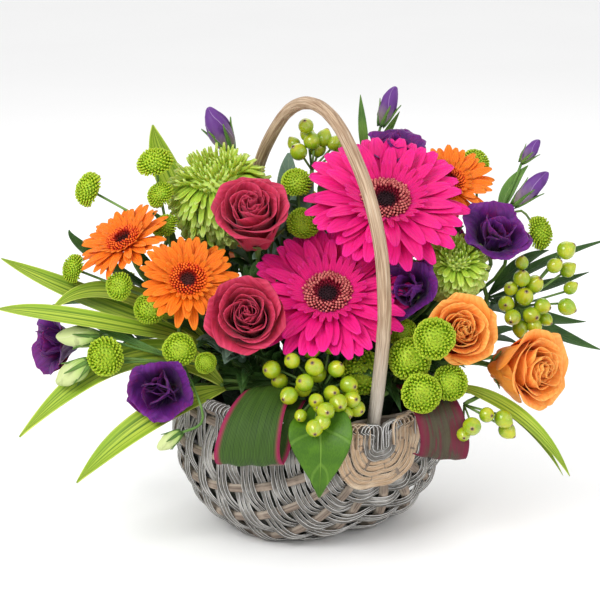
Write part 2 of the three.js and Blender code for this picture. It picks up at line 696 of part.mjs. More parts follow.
// A bunch of hypericum berries on a forked stem.
function addBerries(name, fork, berries) {
  piece(name, BERRY);
  const joint = seen(fork);
  knot(name, joint, 2 + berries.length * 0.14);
  for (const [right, near, up, size] of berries) {
    let centre;
    const ways = BERRY_MOVES.flatMap((d) => [{ d, s: 1 }, { d, s: 0.86 }]);
    const made = ({ d, s }) => {
      centre = seen([right + d[0], near + d[1], up + d[2]]);
      const ball = new THREE.IcosahedronGeometry(size * 0.55 * s, 0);
      return solidFrom(ball.translate(centre.x, centre.y, centre.z));
    };
    if (!putClear(name, ways, made)) continue;
    twig(name, joint, centre, centre.clone().sub(joint).normalize(), 0.8);
  }
  stemTo(name, joint, UP, 1.5);
}

// A leaf from its root through a bend to its tip. Each end is read from the front.
function addLeaf(name, { root, bend, tip, wide, thick = 1, steps = 4, face = [0, 50] }) {
  const up = aim(face);
  const start = seen(root);
  const middle = seen(bend);
  const end = seen(tip);
  const ways = [];
  for (const lift of [0, 4, -4, 8, -8, 13, -13, 19, 26, -20, 34])
    for (const push of [0, 5, -5, 10, -10, 17, -17, 26, -26]) ways.push({ lift, push });
  const across = end.clone().sub(start).cross(up).normalize();
  const made = ({ lift, push }) => {
    const through = middle.clone().addScaledVector(up, lift).addScaledVector(across, push);
    const far = end.clone().addScaledVector(up, lift * 0.6).addScaledVector(across, push * 0.5);
    const between = start.clone().add(far).multiplyScalar(0.5);
    const spine = new THREE.QuadraticBezierCurve3(start, through.multiplyScalar(2).sub(between), far);
    const broad = (t) => wide * Math.pow(Math.sin(Math.PI * (0.06 + t * 0.94)), 0.8);
    const width = (t) => (t === 0 ? 1.8 : Math.max(1.8, broad(t)));
    return blade({ spine, width, thick, steps, face: up, cup: 0.1 });
  };
  putClear(name, ways, made);
}

// A broad leaf rolled into a loop over the rim: a band that comes forward, turns under and goes back in.
function addLoop(name, ink, path, halfWidth, lean) {
  piece(name, ink);
  const spine = new THREE.CatmullRomCurve3(path.map(seen));
  const across = aim(lean);
  const nearer = [0, 2, 4, 6, 9, 12];
  let drawn = 0;
  const made = (near) => {
    drawn = near;
    return sheet(2, 9, (u, t, inner) => {
      const out = spine.getTangent(t).cross(across).normalize();
      const side = (u * 2 - 1) * halfWidth(t);
      const bulge = Math.cos((u - 0.5) * Math.PI) * 1.4;
      const p = spine.getPoint(t).add(V(0, -near, 0));
      return p.addScaledVector(across, side).addScaledVector(out, bulge - (inner ? 1 : 0));
    });
  };
  if (!putClear(name, nearer, made)) put(name, made(0));
  stemTo(name, spine.getPoint(0.04).add(V(0, -drawn, 1.2)), V(0, 0, 1), 1.8);
}

// Leaves that leave one knot at the top of a stem.
function addFoliage(name, ink, fork, leaves) {
  piece(name, ink);
  const joint = seen(fork);
  knot(name, joint, 3.2);
  const at = [joint.x, -joint.y, joint.z];
  for (const { spread = [0, 0, 0], ...leaf } of leaves) {
    const root = at.map((v, k) => v + spread[k]);
    addLeaf(name, { root, face: [0, 60], ...leaf });
  }
  stemTo(name, joint, UP, 1.6);
}

// A spray of furled buds on a forked stem, with a few narrow leaves.
function addBudSpray(name, ink, fork, buds, leaves = []) {
  piece(name, ink);
  const joint = seen(fork);
  for (const [base, tip, thick] of buds) {
    const from = seen(base);
    const to = seen(tip);
    const face = to.clone().sub(from).normalize();
    put(name, budSolid(from, to, thick));
    twig(name, joint, from.clone().addScaledVector(face, 2), face, 0.9);
  }
  for (const leaf of leaves) addLeaf(name, leaf);
  stemTo(name, joint.clone().add(V(0, 0, 0.5)), UP, 1.3);
}

// The basket, and what the flowers stand in.
addHandle();
addRim();
addWeave();
addLiner();
guardFoam();

// The arrangement. Each bloom has its place, the way that it faces, and its size.
const PINK_GERBERA = { count: 20, petalInk: PINK, eyeInk: EYE_DARK, lift: 0.1, eye: 15 };
const ORANGE_GERBERA = { count: 14, petalInk: ORANGE, eyeInk: EYE_RED, lift: 0.12, eye: 10.5 };
addRose("rose_crimson_upper", [-38, 27, 215], [-8, 58], { size: 54, depth: 46, ink: CRIMSON });
addRose("rose_crimson_lower", [-43, 58, 158], [-3, 27], { size: 57, depth: 44, ink: CRIMSON });
addGerbera("gerbera_pink_upper", [50, 8, 223], [3, 52], { ...PINK_GERBERA, size: 108 });
addGerbera("gerbera_pink_lower", [10, 36, 166], [-4, 50], { ...PINK_GERBERA, size: 100 });
addRose("rose_orange_near", [99, 46, 146], [16, 24], { size: 50, depth: 44, ink: APRICOT });
addRose("rose_orange_right", [140, 42, 119], [50, 8], { size: 52, depth: 48, ink: APRICOT });
const LARGE_DOME = { size: 82, tall: 58, count: 11, leans: [104, 80, 56, 33], ink: LIME };
const SMALL_DOME = { size: 52, tall: 40, count: 10, leans: [100, 70, 40], ink: LIME };
addChrysanthemum("chrysanthemum_large", [-62, -28, 219], [-32, 66], LARGE_DOME);
addChrysanthemum("chrysanthemum_small", [93, 16, 181], [10, 46], SMALL_DOME);
addGerbera("gerbera_orange_upper", [-123, 10, 196], [-42, 56], { ...ORANGE_GERBERA, size: 67 });
addGerbera("gerbera_orange_lower", [-77, 50, 177], [-16, 38], { ...ORANGE_GERBERA, size: 66 });
addGerbera("gerbera_orange_right", [96, -16, 229], [26, 56], { ...ORANGE_GERBERA, size: 64 });
addLisianthus("lisianthus_right", [119, 12, 198], [8, 46], { size: 40 });
addLisianthus("lisianthus_middle", [63, 36, 168], [-22, 28], { size: 36, open: 0.9 });
addLisianthus("lisianthus_left", [-168, 16, 129], [-52, 8], { size: 34 });
addLisianthus("lisianthus_low", [-97, 66, 112], [-10, 16], { size: 37 });
addLisianthus("lisianthus_top", [55, -34, 246], [10, 66], { size: 34 });
piece("striped_leaf_upper", STRIPED_LEAF);
addLeaf("striped_leaf_upper", {
  root: [-72, -66, 176], bend: [-92, -64, 224], tip: [-106, -58, 262], wide: 22, steps: 6, face: [-10, 10],
});
stemTo("striped_leaf_upper", seen([-72, -66, 177]), UP, 1.6);

addRose("rose_crimson_back", [30, -66, 196], [165, 40], { size: 54, depth: 44, ink: CRIMSON });
addGerbera("gerbera_orange_back", [-66, -84, 168], [205, 34], { ...ORANGE_GERBERA, size: 66 });
addLisianthus("lisianthus_back", [92, -58, 172], [140, 34], { size: 38 });

// The rolled leaves over the rim and the broad leaf that hangs in front.
const LEFT_LOOP = [
  [-38, 52, 110], [-41, 72, 110], [-45, 90, 98], [-47, 97, 80], [-44, 93, 74],
  [-40, 89, 80], [-37, 84, 94], [-33, 76, 105], [-30, 62, 105],
];
const RIGHT_LOOP = [[70, 44, 106], [74, 58, 107], [80, 72, 99], [84, 80, 84], [83, 80, 72], [79, 76, 70]];
addLoop("rolled_leaf_left", BROAD_LEAF, LEFT_LOOP, (t) => 22 - 5 * t, [98, -3]);
addLoop("rolled_leaf_right", MAROON_LEAF, RIGHT_LOOP, (t) => 17 - 2 * t, [92, -6]);

piece("broad_leaf_front", BROAD_LEAF);
addLeaf("broad_leaf_front", {
  root: [6, 64, 104], bend: [8, 98, 88], tip: [9, 98, 44], wide: 32, steps: 6, face: [0, 20],
});
stemTo("broad_leaf_front", seen([6, 65, 104]), UP, 1.6);

// Buttons, berries, buds and foliage.
addSantini("santini_upper_left", [-96, -12, 196], [
  [[-149, -20, 224], [-66, 24], 22], [[-104, -16, 243], [-30, 66], 23], [[-104, -8, 217], [-50, 40], 21],
]);
addSantini("santini_left", [-84, 18, 150], [
  [[-97, -2, 203], [-40, 60], 20], [[-154, 12, 176], [-60, 20], 21],
  [[-126, 36, 172], [-40, 20], 21], [[-105, 40, 158], [-20, 30], 20],
]);
addSantini("santini_low_left", [-62, 36, 118], [
  [[-85, 62, 137], [-10, 20], 24], [[-137, 28, 121], [-40, 5], 26], [[-68, 68, 130], [0, 10], 13],
]);
addSantini("santini_top", [-6, -18, 190], [[[-10, -14, 230], [0, 55], 20], [[-6, 2, 206], [5, 40], 20]]);
addSantini("santini_right_cluster", [56, 34, 112], [
  [[33, 50, 118], [-12, 14], 27], [[58, 46, 144], [0, 30], 18], [[62, 62, 131], [0, 22], 26],
  [[79, 64, 141], [10, 30], 22], [[69, 76, 112], [0, 10], 24], [[88, 67, 116], [15, 12], 22],
]);
addSantini("santini_right", [112, -14, 170], [
  [[151, -8, 197], [60, 15], 21], [[112, -54, 236], [40, 55], 19],
]);
addSantini("santini_back", [-14, -52, 122], [
  [[-128, -42, 150], [-110, 10], 22], [[-66, -84, 128], [200, 14], 23],
  [[58, -82, 150], [165, 20], 23], [[-4, -72, 206], [185, 45], 20],
]);

addBerries("hypericum_front", [6, 56, 108], [
  [-26, 70, 126, 12], [-13, 72, 133, 12], [1, 74, 134, 12], [-5, 82, 121, 11.5],
  [15, 72, 127, 11], [-15, 84, 113, 11.5], [12, 82, 114, 10.5], [24, 72, 111, 10],
  [4, 90, 108, 8.5], [18, 86, 103, 10], [6, 96, 100, 10.5], [-6, 92, 101, 9.5],
]);
addBerries("hypericum_top", [0, -46, 232], [
  [-4, -36, 264, 10.5], [-9, -38, 246, 12], [0, -40, 253, 11.5], [8, -44, 254, 11], [15, -42, 251, 10],
]);
addBerries("hypericum_right", [136, 4, 150], [
  [168, 0, 187, 12.5], [170, -3, 173, 10.5], [138, 10, 181, 9], [138, 12, 171, 11.5], [140, 14, 159, 12],
  [152, 12, 152, 11], [169, 6, 150, 11.5], [132, 18, 146, 11], [147, 14, 139, 10],
]);
addBerries("hypericum_low_right", [98, 56, 98], [[101, 82, 92, 12], [122, 70, 93, 11.5], [125, 66, 84, 11]]);
addBerries("hypericum_back", [28, -60, 140], [
  [18, -88, 172, 11], [30, -92, 165, 11], [8, -92, 164, 10], [24, -96, 153, 11],
]);

addBudSpray("bud_spray_upper_left", PURPLE, [-50, -66, 220], [[[-56, -66, 241], [-70, -66, 270], 17]]);
addBudSpray("bud_spray_upper_right", PURPLE, [38, -58, 230], [[[47, -56, 261], [56, -56, 286], 11.5]], [
  { root: [38, -58, 230], bend: [35, -58, 256], tip: [33, -58, 282], wide: 7, steps: 3, face: [0, 10] },
  { root: [38, -58, 230], bend: [50, -60, 252], tip: [60, -60, 270], wide: 6, steps: 3, face: [0, 30] },
]);
addBudSpray("bud_spray_right", PURPLE, [124, -6, 206], [
  [[133, -4, 217], [154, -2, 238], 11.5], [[138, -12, 244], [149, -12, 258], 9],
], [
  { root: [124, -6, 208], bend: [130, -10, 226], tip: [143, -12, 242], wide: 10, steps: 3, face: [0, 20] },
]);
addBudSpray("bud_spray_left", BUD, [-84, 50, 126], [
  [[-136, 46, 140], [-164, 46, 141], 14], [[-143, 56, 127], [-164, 56, 113], 14],
  [[-83, 88, 90], [-97, 92, 81], 10],
], [
  { root: [-84, 50, 126], bend: [-130, 40, 142], tip: [-160, 36, 158], wide: 6, steps: 3, face: [0, 40] },
]);

// Long striped leaves.
addFoliage("striped_leaves_left", STRIPED_LEAF, [-66, 14, 126], [
  { spread: [1, -1, 1], bend: [-148, 14, 172], tip: [-205, 14, 194], wide: 16, steps: 6 },
  { spread: [-1, 0, 0], bend: [-150, 24, 160], tip: [-204, 26, 160], wide: 13, steps: 6 },
  { spread: [0, 1, -1], bend: [-126, 30, 146], tip: [-170, 34, 146], wide: 14, steps: 5 },
]);
addFoliage("striped_leaves_low", STRIPED_LEAF, [-58, 44, 107], [
  { spread: [-1, 0, 1], steps: 7, bend: [-130, 56, 118], tip: [-190, 62, 74], wide: 20 },
  { spread: [1.5, 0.5, -1.6], steps: 5, bend: [-104, 76, 94], tip: [-150, 84, 56], wide: 18 },
]);

piece("grass_leaf_right", STRIPED_LEAF);
addLeaf("grass_leaf_right", {
  root: [92, 46, 108], bend: [132, 62, 88], tip: [166, 64, 50], wide: 9, steps: 7, face: [30, 40],
});
addLeaf("grass_leaf_right", {
  root: [92, 46, 108], bend: [128, 58, 84], tip: [161, 60, 48], wide: 6, steps: 6, face: [30, 40],
});
stemTo("grass_leaf_right", seen([92, 46, 109]), UP, 1.6);

// Dark pointed leaves on the right, on the left and at the back, and grey leaves in the middle.
addFoliage("dark_leaves_right", DARK_LEAF, [118, -18, 150], [
  { bend: [152, -12, 158], tip: [186, -10, 170], wide: 12 },
  { bend: [150, -6, 140], tip: [184, -4, 137], wide: 14 },
  { bend: [160, -14, 128], tip: [196, -8, 116], wide: 14 },
  { bend: [140, -20, 172], tip: [160, -22, 182], wide: 12 },
  { bend: [156, -24, 172], tip: [204, -24, 190], wide: 9 },
]);
addFoliage("dark_leaves_left", DARK_LEAF, [-92, -30, 146], [
  { bend: [-142, -26, 182], tip: [-161, -20, 200], wide: 12 },
  { bend: [-132, -30, 150], tip: [-178, -26, 144], wide: 14 },
  { bend: [-126, -36, 128], tip: [-158, -34, 112], wide: 14 },
]);
addFoliage("dark_leaves_back", DARK_LEAF, [4, -44, 128], [
  { bend: [-70, -84, 112], tip: [-110, -96, 96], wide: 18 },
  { bend: [-20, -88, 110], tip: [-26, -110, 88], wide: 20 },
  { bend: [30, -86, 112], tip: [36, -112, 92], wide: 20 },
  { bend: [76, -76, 120], tip: [112, -92, 104], wide: 18 },
  { bend: [90, -52, 134], tip: [146, -60, 130], wide: 16 },
  { bend: [-80, -60, 140], tip: [-140, -72, 132], wide: 16 },
]);
addFoliage("grey_leaves", GREY_LEAF, [-20, -34, 176], [
  { bend: [-22, -34, 220], tip: [-18, -36, 246], wide: 15 },
  { bend: [-34, -50, 200], tip: [-48, -56, 224], wide: 14 },
]);

addFoam();

// Each piece's bits are joined into one body.
const arrangement = new THREE.Group();
for (const [name, { material, place }] of nodes) {
  const bits = placed.filter((p) => p.name === name).map((p) => p.solid);
  const bodies = wasm.Manifold.union(bits).simplify(0.02).decompose();
  const [whole] = bodies.sort((a, b) => b.volume() - a.volume());
  const mesh = new THREE.Mesh(geometryFrom(moved(whole, place.clone().invert())), material);
  mesh.name = name;
  mesh.applyMatrix4(place);
  arrangement.add(mesh);
}

export default arrangement;
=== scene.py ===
import math
import random

import bmesh
import bpy
from mathutils import Matrix, Vector


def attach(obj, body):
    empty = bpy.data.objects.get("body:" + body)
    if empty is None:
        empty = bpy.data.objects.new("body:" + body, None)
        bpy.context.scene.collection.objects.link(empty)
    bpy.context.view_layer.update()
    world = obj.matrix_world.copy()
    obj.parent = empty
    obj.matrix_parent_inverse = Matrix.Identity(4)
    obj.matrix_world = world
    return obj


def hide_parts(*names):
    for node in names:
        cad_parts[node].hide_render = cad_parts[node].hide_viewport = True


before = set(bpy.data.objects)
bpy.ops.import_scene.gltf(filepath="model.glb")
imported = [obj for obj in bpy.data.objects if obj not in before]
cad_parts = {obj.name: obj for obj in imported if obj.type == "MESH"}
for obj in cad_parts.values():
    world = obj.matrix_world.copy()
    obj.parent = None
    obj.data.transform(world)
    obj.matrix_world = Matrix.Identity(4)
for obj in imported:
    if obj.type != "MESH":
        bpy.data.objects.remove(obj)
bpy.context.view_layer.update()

# The stage: the photograph's viewing angle, a little above level and straight on to the arrangement,
# a pale floor, a broad light from the upper left, a soft one from the right and one from behind.
AIMED_AT = Vector((-0.008, 0.0, 0.153))
VIEW_DISTANCE = 1.3
VIEW_HEIGHT = math.radians(15)
LENS_MM = 117.0
STUDIO_GLOW = 0.93
FLOOR_SIZE = 8.0
away = Vector((0.0, -math.cos(VIEW_HEIGHT), math.sin(VIEW_HEIGHT)))
bpy.ops.object.camera_add(
    location=AIMED_AT + away * VIEW_DISTANCE, rotation=(math.pi / 2 - VIEW_HEIGHT, 0.0, 0.0)
)
camera = bpy.context.object
camera.data.lens = LENS_MM
bpy.context.scene.camera = camera
bpy.context.scene.view_settings.view_transform = "Standard"

world = bpy.data.worlds.new("studio")
bpy.context.scene.world = world
world.use_nodes = True
world.node_tree.nodes["Background"].inputs["Color"].default_value = (1.0, 1.0, 1.0, 1.0)
world.node_tree.nodes["Background"].inputs["Strength"].default_value = STUDIO_GLOW

# Each lamp: its place, its turn in degrees, its size in metres and its power in watts.
LAMPS = (
    ((-0.75, -0.95, 1.15), (48, 0, -38), 0.7, 15.0),
    ((0.95, -0.8, 0.7), (62, 0, 50), 1.0, 4.0),
    ((0.1, 0.9, 1.1), (-42, 0, 0), 1.0, 4.0),
)
for place, turn, size, power in LAMPS:
    bpy.ops.object.light_add(type="AREA", location=place, rotation=[math.radians(a) for a in turn])
    bpy.context.object.data.size = size
    bpy.context.object.data.energy = power


class Tone:
    """A socket in a material. Sums on it add Math nodes, and node() adds any other kind."""

    def __init__(self, tree, socket):
        self.tree = tree
        self.socket = socket

    def node(self, kind, settings=(), sockets=(), out=0):
        made = self.tree.nodes.new(kind)
        for name, value in dict(settings).items():
            setattr(made, name, value)
        for name, value in dict(sockets).items():
            if isinstance(value, Tone):
                self.tree.links.new(value.socket, made.inputs[name])
            else:
                made.inputs[name].default_value = value
        return Tone(self.tree, made.outputs[out])

    def maths(self, operation, first, second=0.0):
        return self.node("ShaderNodeMath", {"operation": operation}, {0: first, 1: second})

    def __add__(self, other):
        return self.maths("ADD", self, other)

    def __radd__(self, other):
        return self.maths("ADD", other, self)

    def __sub__(self, other):
        return self.maths("SUBTRACT", self, other)

    def __rsub__(self, other):
        return self.maths("SUBTRACT", other, self)

    def __mul__(self, other):
        return self.maths("MULTIPLY", self, other)

    def __rmul__(self, other):
        return self.maths("MULTIPLY", other, self)

    def along(self, axis):
        """One part of a place: X, Y or Z."""
        return self.node("ShaderNodeSeparateXYZ", {}, {"Vector": self}, out=axis)

    def written(self, name):
        """What was written on the mesh's points under that name."""
        return self.node("ShaderNodeAttribute", {"attribute_name": name}, out="Fac")

    def rise(self, low, high):
        """0 below low and 1 above high, with a smooth step between."""
        ends = {"Value": self, "From Min": low, "From Max": high}
        return self.node("ShaderNodeMapRange", {"interpolation_type": "SMOOTHSTEP"}, ends)

    def between(self, low, high):
        """The colour low where this is 0 and high where it is 1."""
        ends = [(*c, 1.0) if isinstance(c, tuple) else c for c in (low, high)]
        return self.node("ShaderNodeMix", {"data_type": "RGBA"}, {0: self, 6: ends[0], 7: ends[1]}, out=2)

    def noise(self, scale, detail=3.0, stretch=(1.0, 1.0, 1.0), warp=0.0):
        """Clouds at this place, drawn out by stretch."""
        place = self.node("ShaderNodeMapping", {}, {"Vector": self, "Scale": stretch})
        clouds = {"Vector": place, "Scale": scale, "Detail": detail, "Distortion": warp}
        return self.node("ShaderNodeTexNoise", {}, clouds)


def surface(name, roughness, **fixed):
    """A new material, its shader, the place on the object and the place on the piece's own map."""
    material = bpy.data.materials.new(name)
    material.use_nodes = True
    tree = material.node_tree
    shader = tree.nodes["Principled BSDF"]
    shader.inputs["Roughness"].default_value = roughness
    shader.inputs["Specular IOR Level"].default_value = 0.25
    for socket, value in fixed.items():
        shader.inputs[socket.replace("_", " ")].default_value = value
    start = Tone(tree, None)
    place = start.node("ShaderNodeTexCoord", out="Object")
    map_place = start.node("ShaderNodeTexCoord", out="UV")
    return material, shader, place, map_place


def feed(shader, socket, tone):
    tone.tree.links.new(tone.socket, shader.inputs[socket])


def raise_grain(shader, height, depth):
    """A bump of that depth in metres from a height that runs from 0 to 1."""
    bump = height.node("ShaderNodeBump", {}, {"Height": height, "Distance": depth, "Strength": 1.0})
    feed(shader, "Normal", bump)


stage_paint, shader, place, _ = surface("floor_paper", 0.9)
feed(shader, "Base Color", place.noise(3.0).between((0.93, 0.93, 0.93), (0.96, 0.96, 0.96)))
bpy.ops.mesh.primitive_plane_add(size=FLOOR_SIZE, location=(0.0, 0.0, 0.0))
floor = bpy.context.object
floor.name = "floor"
floor.data.materials.append(stage_paint)

# The woven wall: ribs run under the basket from the front eye to the back eye, and bands of three flat
# willow skeins run across them from rim to rim, over one rib and under the next. Grey weathered willow,
# with the first bands under the handle peeled. Each skein is a tube wrapped from a flat grid.
BASKET_TURN = Matrix.Rotation(math.radians(32), 4, "Z")
HALF_LENGTH = 80.0
EYE_HEIGHT = 80.0
SECTION = ((0, -4), (36, -3.6), (61, 7), (79, 26), (89, 48), (92, 68), (88, 93))
RIBS = 12
RIB_RADIUS = 3.1
WAVE = 2.3
SKEIN_WIDE = 3.2
SKEIN_THICK = 1.0
RIM_LIFT = 3.9
SWELL_OUT = 0.85
SWELL_DOWN = 0.75


def section_at(w):
    """The basket's cross-section through its middle: w runs from the keel (0) to the rim (1)."""
    spans = [math.sqrt(math.dist(a, b)) for a, b in zip(SECTION, SECTION[1:])]
    at = min(abs(w), 0.99999) * (len(SECTION) - 1)
    k = int(at)
    t = at - k
    p = [Vector((*SECTION[min(max(k + i, 0), len(SECTION) - 1)], 0)) for i in (-1, 0, 1, 2)]
    d1 = spans[k]
    d0 = spans[k - 1] if k else d1
    d2 = spans[k + 1] if k + 1 < len(spans) else d1
    if k == 0:
        p[0] = p[1] * 2 - p[2]
    if k + 2 >= len(SECTION):
        p[3] = p[2] * 2 - p[1]
    m1 = ((p[1] - p[0]) / d0 - (p[2] - p[0]) / (d0 + d1) + (p[2] - p[1]) / d1) * d1
    m2 = ((p[2] - p[1]) / d1 - (p[3] - p[1]) / (d1 + d2) + (p[3] - p[2]) / d2) * d1
    t2, t3 = t * t, t * t * t
    return p[1] * (2 * t3 - 3 * t2 + 1) + m1 * (t3 - 2 * t2 + t) + p[2] * (3 * t2 - 2 * t3) + m2 * (t3 - t2)


def wall(s, w):
    """A point of the wall: s runs from the front eye (0) to the back one (1), w from rim to rim (-1 to 1)."""
    across = section_at(w)
    swell = math.sin(math.pi * s)
    return Vector((
        math.copysign(across.x, w) * swell**SWELL_OUT,
        -HALF_LENGTH * math.cos(math.pi * s),
        EYE_HEIGHT + (across.y - EYE_HEIGHT) * swell**SWELL_DOWN,
    ))


def wall_out(s, w):
    """Which way the wall faces."""
    step = 0.004
    along = wall(min(s + step, 0.999), w) - wall(max(s - step, 0.001), w)
    across = wall(s, min(w + step, 1.0)) - wall(s, max(w - step, -1.0))
    return along.cross(across).normalized()


def flat_grid(name, columns, rows):
    """A flat square grid, to be pressed into shape."""
    bpy.ops.object.select_all(action="DESELECT")
    bpy.ops.mesh.primitive_grid_add(x_subdivisions=columns, y_subdivisions=rows, size=1)
    bpy.context.object.name = name
    return bpy.context.object


def wrap_tube(name, points, outs, wide, thick, sides=6):
    """A flat-sided skein along points. outs say which way its broad face looks."""
    tube = flat_grid(name, sides, len(points) - 1)
    for index, vert in enumerate(tube.data.vertices):
        row, side = divmod(index, sides + 1)
        along = (points[min(row + 1, len(points) - 1)] - points[max(row - 1, 0)]).normalized()
        flat = along.cross(outs[row]).normalized()
        turn = 2 * math.pi * side / sides
        share = wide[row] if isinstance(wide, list) else wide
        vert.co = points[row] + flat * math.cos(turn) * share / 2 + outs[row] * math.sin(turn) * thick / 2
    bpy.ops.object.mode_set(mode="EDIT")
    bpy.ops.mesh.select_all(action="SELECT")
    bpy.ops.mesh.remove_doubles(threshold=0.001)
    bpy.ops.mesh.select_non_manifold()
    bpy.ops.mesh.edge_face_add()
    bpy.ops.mesh.select_all(action="SELECT")
    bpy.ops.mesh.normals_make_consistent(inside=False)
    bpy.ops.object.mode_set(mode="OBJECT")
    return tube


def join(bits, name):
    """One piece from many, with its place in its mesh and smooth faces."""
    bpy.ops.object.select_all(action="DESELECT")
    for bit in bits:
        bit.select_set(True)
    bpy.context.view_layer.objects.active = bits[0]
    if len(bits) > 1:
        bpy.ops.object.join()
    whole = bpy.context.object
    whole.name = name
    whole.data.name = name
    bpy.ops.object.shade_smooth()
    return whole


def keep(piece, slot, material, *nodes):
    """Rides on the basket, takes its material, and stands for the named solids. Its slot is not used."""
    piece.data.materials.clear()
    piece.data.materials.append(material)
    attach(piece, "root")
    if nodes:
        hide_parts(*nodes)


def willow_look(name, dark, mid, pale, edge):
    """Streaked bark with pale blotches, and a painted highlight, another tone, along the edges where each
    strand turns away.
    """
    material, shader, place, map_place = surface(name, 0.72)
    fibres = map_place.noise(9.0, 3.0, (4.0, 1.2, 1.0), 0.4)
    blotches = place.noise(70.0, 4.0)
    sides = place.maths("ABSOLUTE", place.maths("COSINE", map_place.along("X") * (2 * math.pi)))
    colour = fibres.rise(0.32, 0.68).between(dark, mid)
    colour = blotches.rise(0.45, 0.72).between(colour, pale)
    # The edge tone is a painted highlight along each strand's narrow edges.
    colour = sides.rise(0.72, 0.98).between(colour, edge)
    feed(shader, "Base Color", colour)
    feed(shader, "Roughness", 0.58 + blotches * 0.3)
    raise_grain(shader, fibres + blotches * 0.4, 0.0005)
    return material


GREY_WILLOW = willow_look(
    "grey_willow", (0.055, 0.05, 0.044), (0.23, 0.215, 0.195), (0.40, 0.385, 0.36), (0.86, 0.85, 0.83)
)
PEELED_WILLOW = willow_look(
    "peeled_willow", (0.34, 0.22, 0.13), (0.62, 0.44, 0.29), (0.70, 0.56, 0.41), (0.84, 0.70, 0.54)
)
BROWN_RIB = willow_look(
    "brown_rib", (0.12, 0.09, 0.07), (0.28, 0.22, 0.175), (0.42, 0.34, 0.27), (0.44, 0.37, 0.3)
)

BAND_PITCH = 9.4
KEEL_STEPS = 400
HALF_STEPS = 33
END_ROOM = 3.0
STRAND_GAP = 0.31
LAST_TIGHT_BAND = 2
SKEIN_LIFT = 0.9
STRAND_STEP = 0.3
FLOOR_GAP = 0.8
TURN_RADIUS = 5.2
TUCK_IN = 4.6
TUCK_DOWN = 12
grow = random.Random(11)
steps = [0.012 + 0.976 * k / KEEL_STEPS for k in range(KEEL_STEPS + 1)]
keel = [0.0]
for a, b in zip(steps, steps[1:]):
    keel.append(keel[-1] + (wall(b, 0) - wall(a, 0)).length)
bands = int(keel[-1] / BAND_PITCH)
TO_METRES = 0.001
to_frame = BASKET_TURN @ Matrix.Diagonal((TO_METRES, TO_METRES, TO_METRES, 1.0))


def s_at(travel):
    """How far along the basket that length of keel reaches."""
    k = min(range(len(keel)), key=lambda i: abs(keel[i] - travel))
    return steps[k]


peeled = []
weathered = []
for band in range(bands + 1):
    for strand in (-1, 0, 1):
        s = s_at(END_ROOM + (band + STRAND_GAP * strand) * (keel[-1] - 2 * END_ROOM) / bands)
        swell = math.sin(math.pi * s)
        points = []
        outs = []
        width = []
        thin = 0.78 + 0.36 * grow.random() + (0.2 if band <= LAST_TIGHT_BAND else 0.0)
        drift = 0.5 * (grow.random() - 0.5)
        for k in range(-HALF_STEPS, HALF_STEPS + 1):
            w = k / HALF_STEPS
            rib = (w + 1) / 2 * (RIBS - 1)
            over = math.cos(math.pi * (rib + band)) * min(1.0, 4.0 * swell)
            if band <= LAST_TIGHT_BAND:
                over = 0.75 + 0.2 * over
            out = wall_out(s, w)
            at = wall(s, w) + out * (over * WAVE + SKEIN_LIFT + STRAND_STEP * strand)
            at.y += drift + 0.35 * math.sin(rib * 2.1 + strand)
            at.z = max(at.z, FLOOR_GAP)
            points.append(at)
            outs.append(out)
            width.append(SKEIN_WIDE * thin * (0.75 + 0.25 * abs(over)))
        for end in (0, -1):
            foot = points[end]
            side = Vector((math.copysign(1.0, foot.x), 0.0, 0.0))
            centre = wall(s, 1.0 if foot.x > 0 else -1.0) + Vector((0, 0, RIM_LIFT))
            turns = [math.radians(a) for a in (10, 45, 80, 115, 150, 185)]
            wrap = [
                centre + side * TURN_RADIUS * math.cos(a) + Vector((0, 0, TURN_RADIUS * math.sin(a)))
                for a in turns
            ]
            looks = [side * math.cos(a) + Vector((0, 0, math.sin(a))) for a in turns]
            wrap.append(centre - side * TUCK_IN - Vector((0, 0, TUCK_DOWN)))
            looks.append(-side)
            lean = 1.6 * strand + 1.5 * (grow.random() - 0.5)
            for j, p in enumerate(wrap):
                p.y = foot.y + lean * j / len(turns)
            if end == 0:
                points = wrap[::-1] + points
                outs = looks[::-1] + outs
                width = [SKEIN_WIDE * thin] * len(wrap) + width
            else:
                points = points + wrap
                outs = outs + looks
                width = width + [SKEIN_WIDE * thin] * len(wrap)
        tube = wrap_tube("skein", points, outs, width, SKEIN_THICK)
        tube.data.transform(to_frame)
        (peeled if 1 <= band <= LAST_TIGHT_BAND else weathered).append(tube)

keep(join(weathered, "willow_weave"), "willow", GREY_WILLOW, "basket_weave")
keep(join(peeled, "peeled_bands"), "willow", PEELED_WILLOW)

RIB_STEPS = 40
RIB_REACH = 0.97
RIB_GAP = 3.2
ribs = []
for rib in range(RIBS):
    w = max(min(-1 + 2 * rib / (RIBS - 1), RIB_REACH), -RIB_REACH)
    line = [0.03 + 0.94 * k / RIB_STEPS for k in range(RIB_STEPS + 1)]
    points = [wall(s, w) - wall_out(s, w) * 0.4 for s in line]
    for at in points:
        at.z = max(at.z, RIB_GAP)
    width = [RIB_RADIUS * 2 * (1 + 0.12 * math.sin(9 * s + rib)) for s in line]
    rod = wrap_tube("rib", points, [wall_out(s, w) for s in line], width, RIB_RADIUS * 2, 8)
    rod.data.transform(to_frame)
    ribs.append(rod)
keep(join(ribs, "ribs"), "willow", BROWN_RIB)

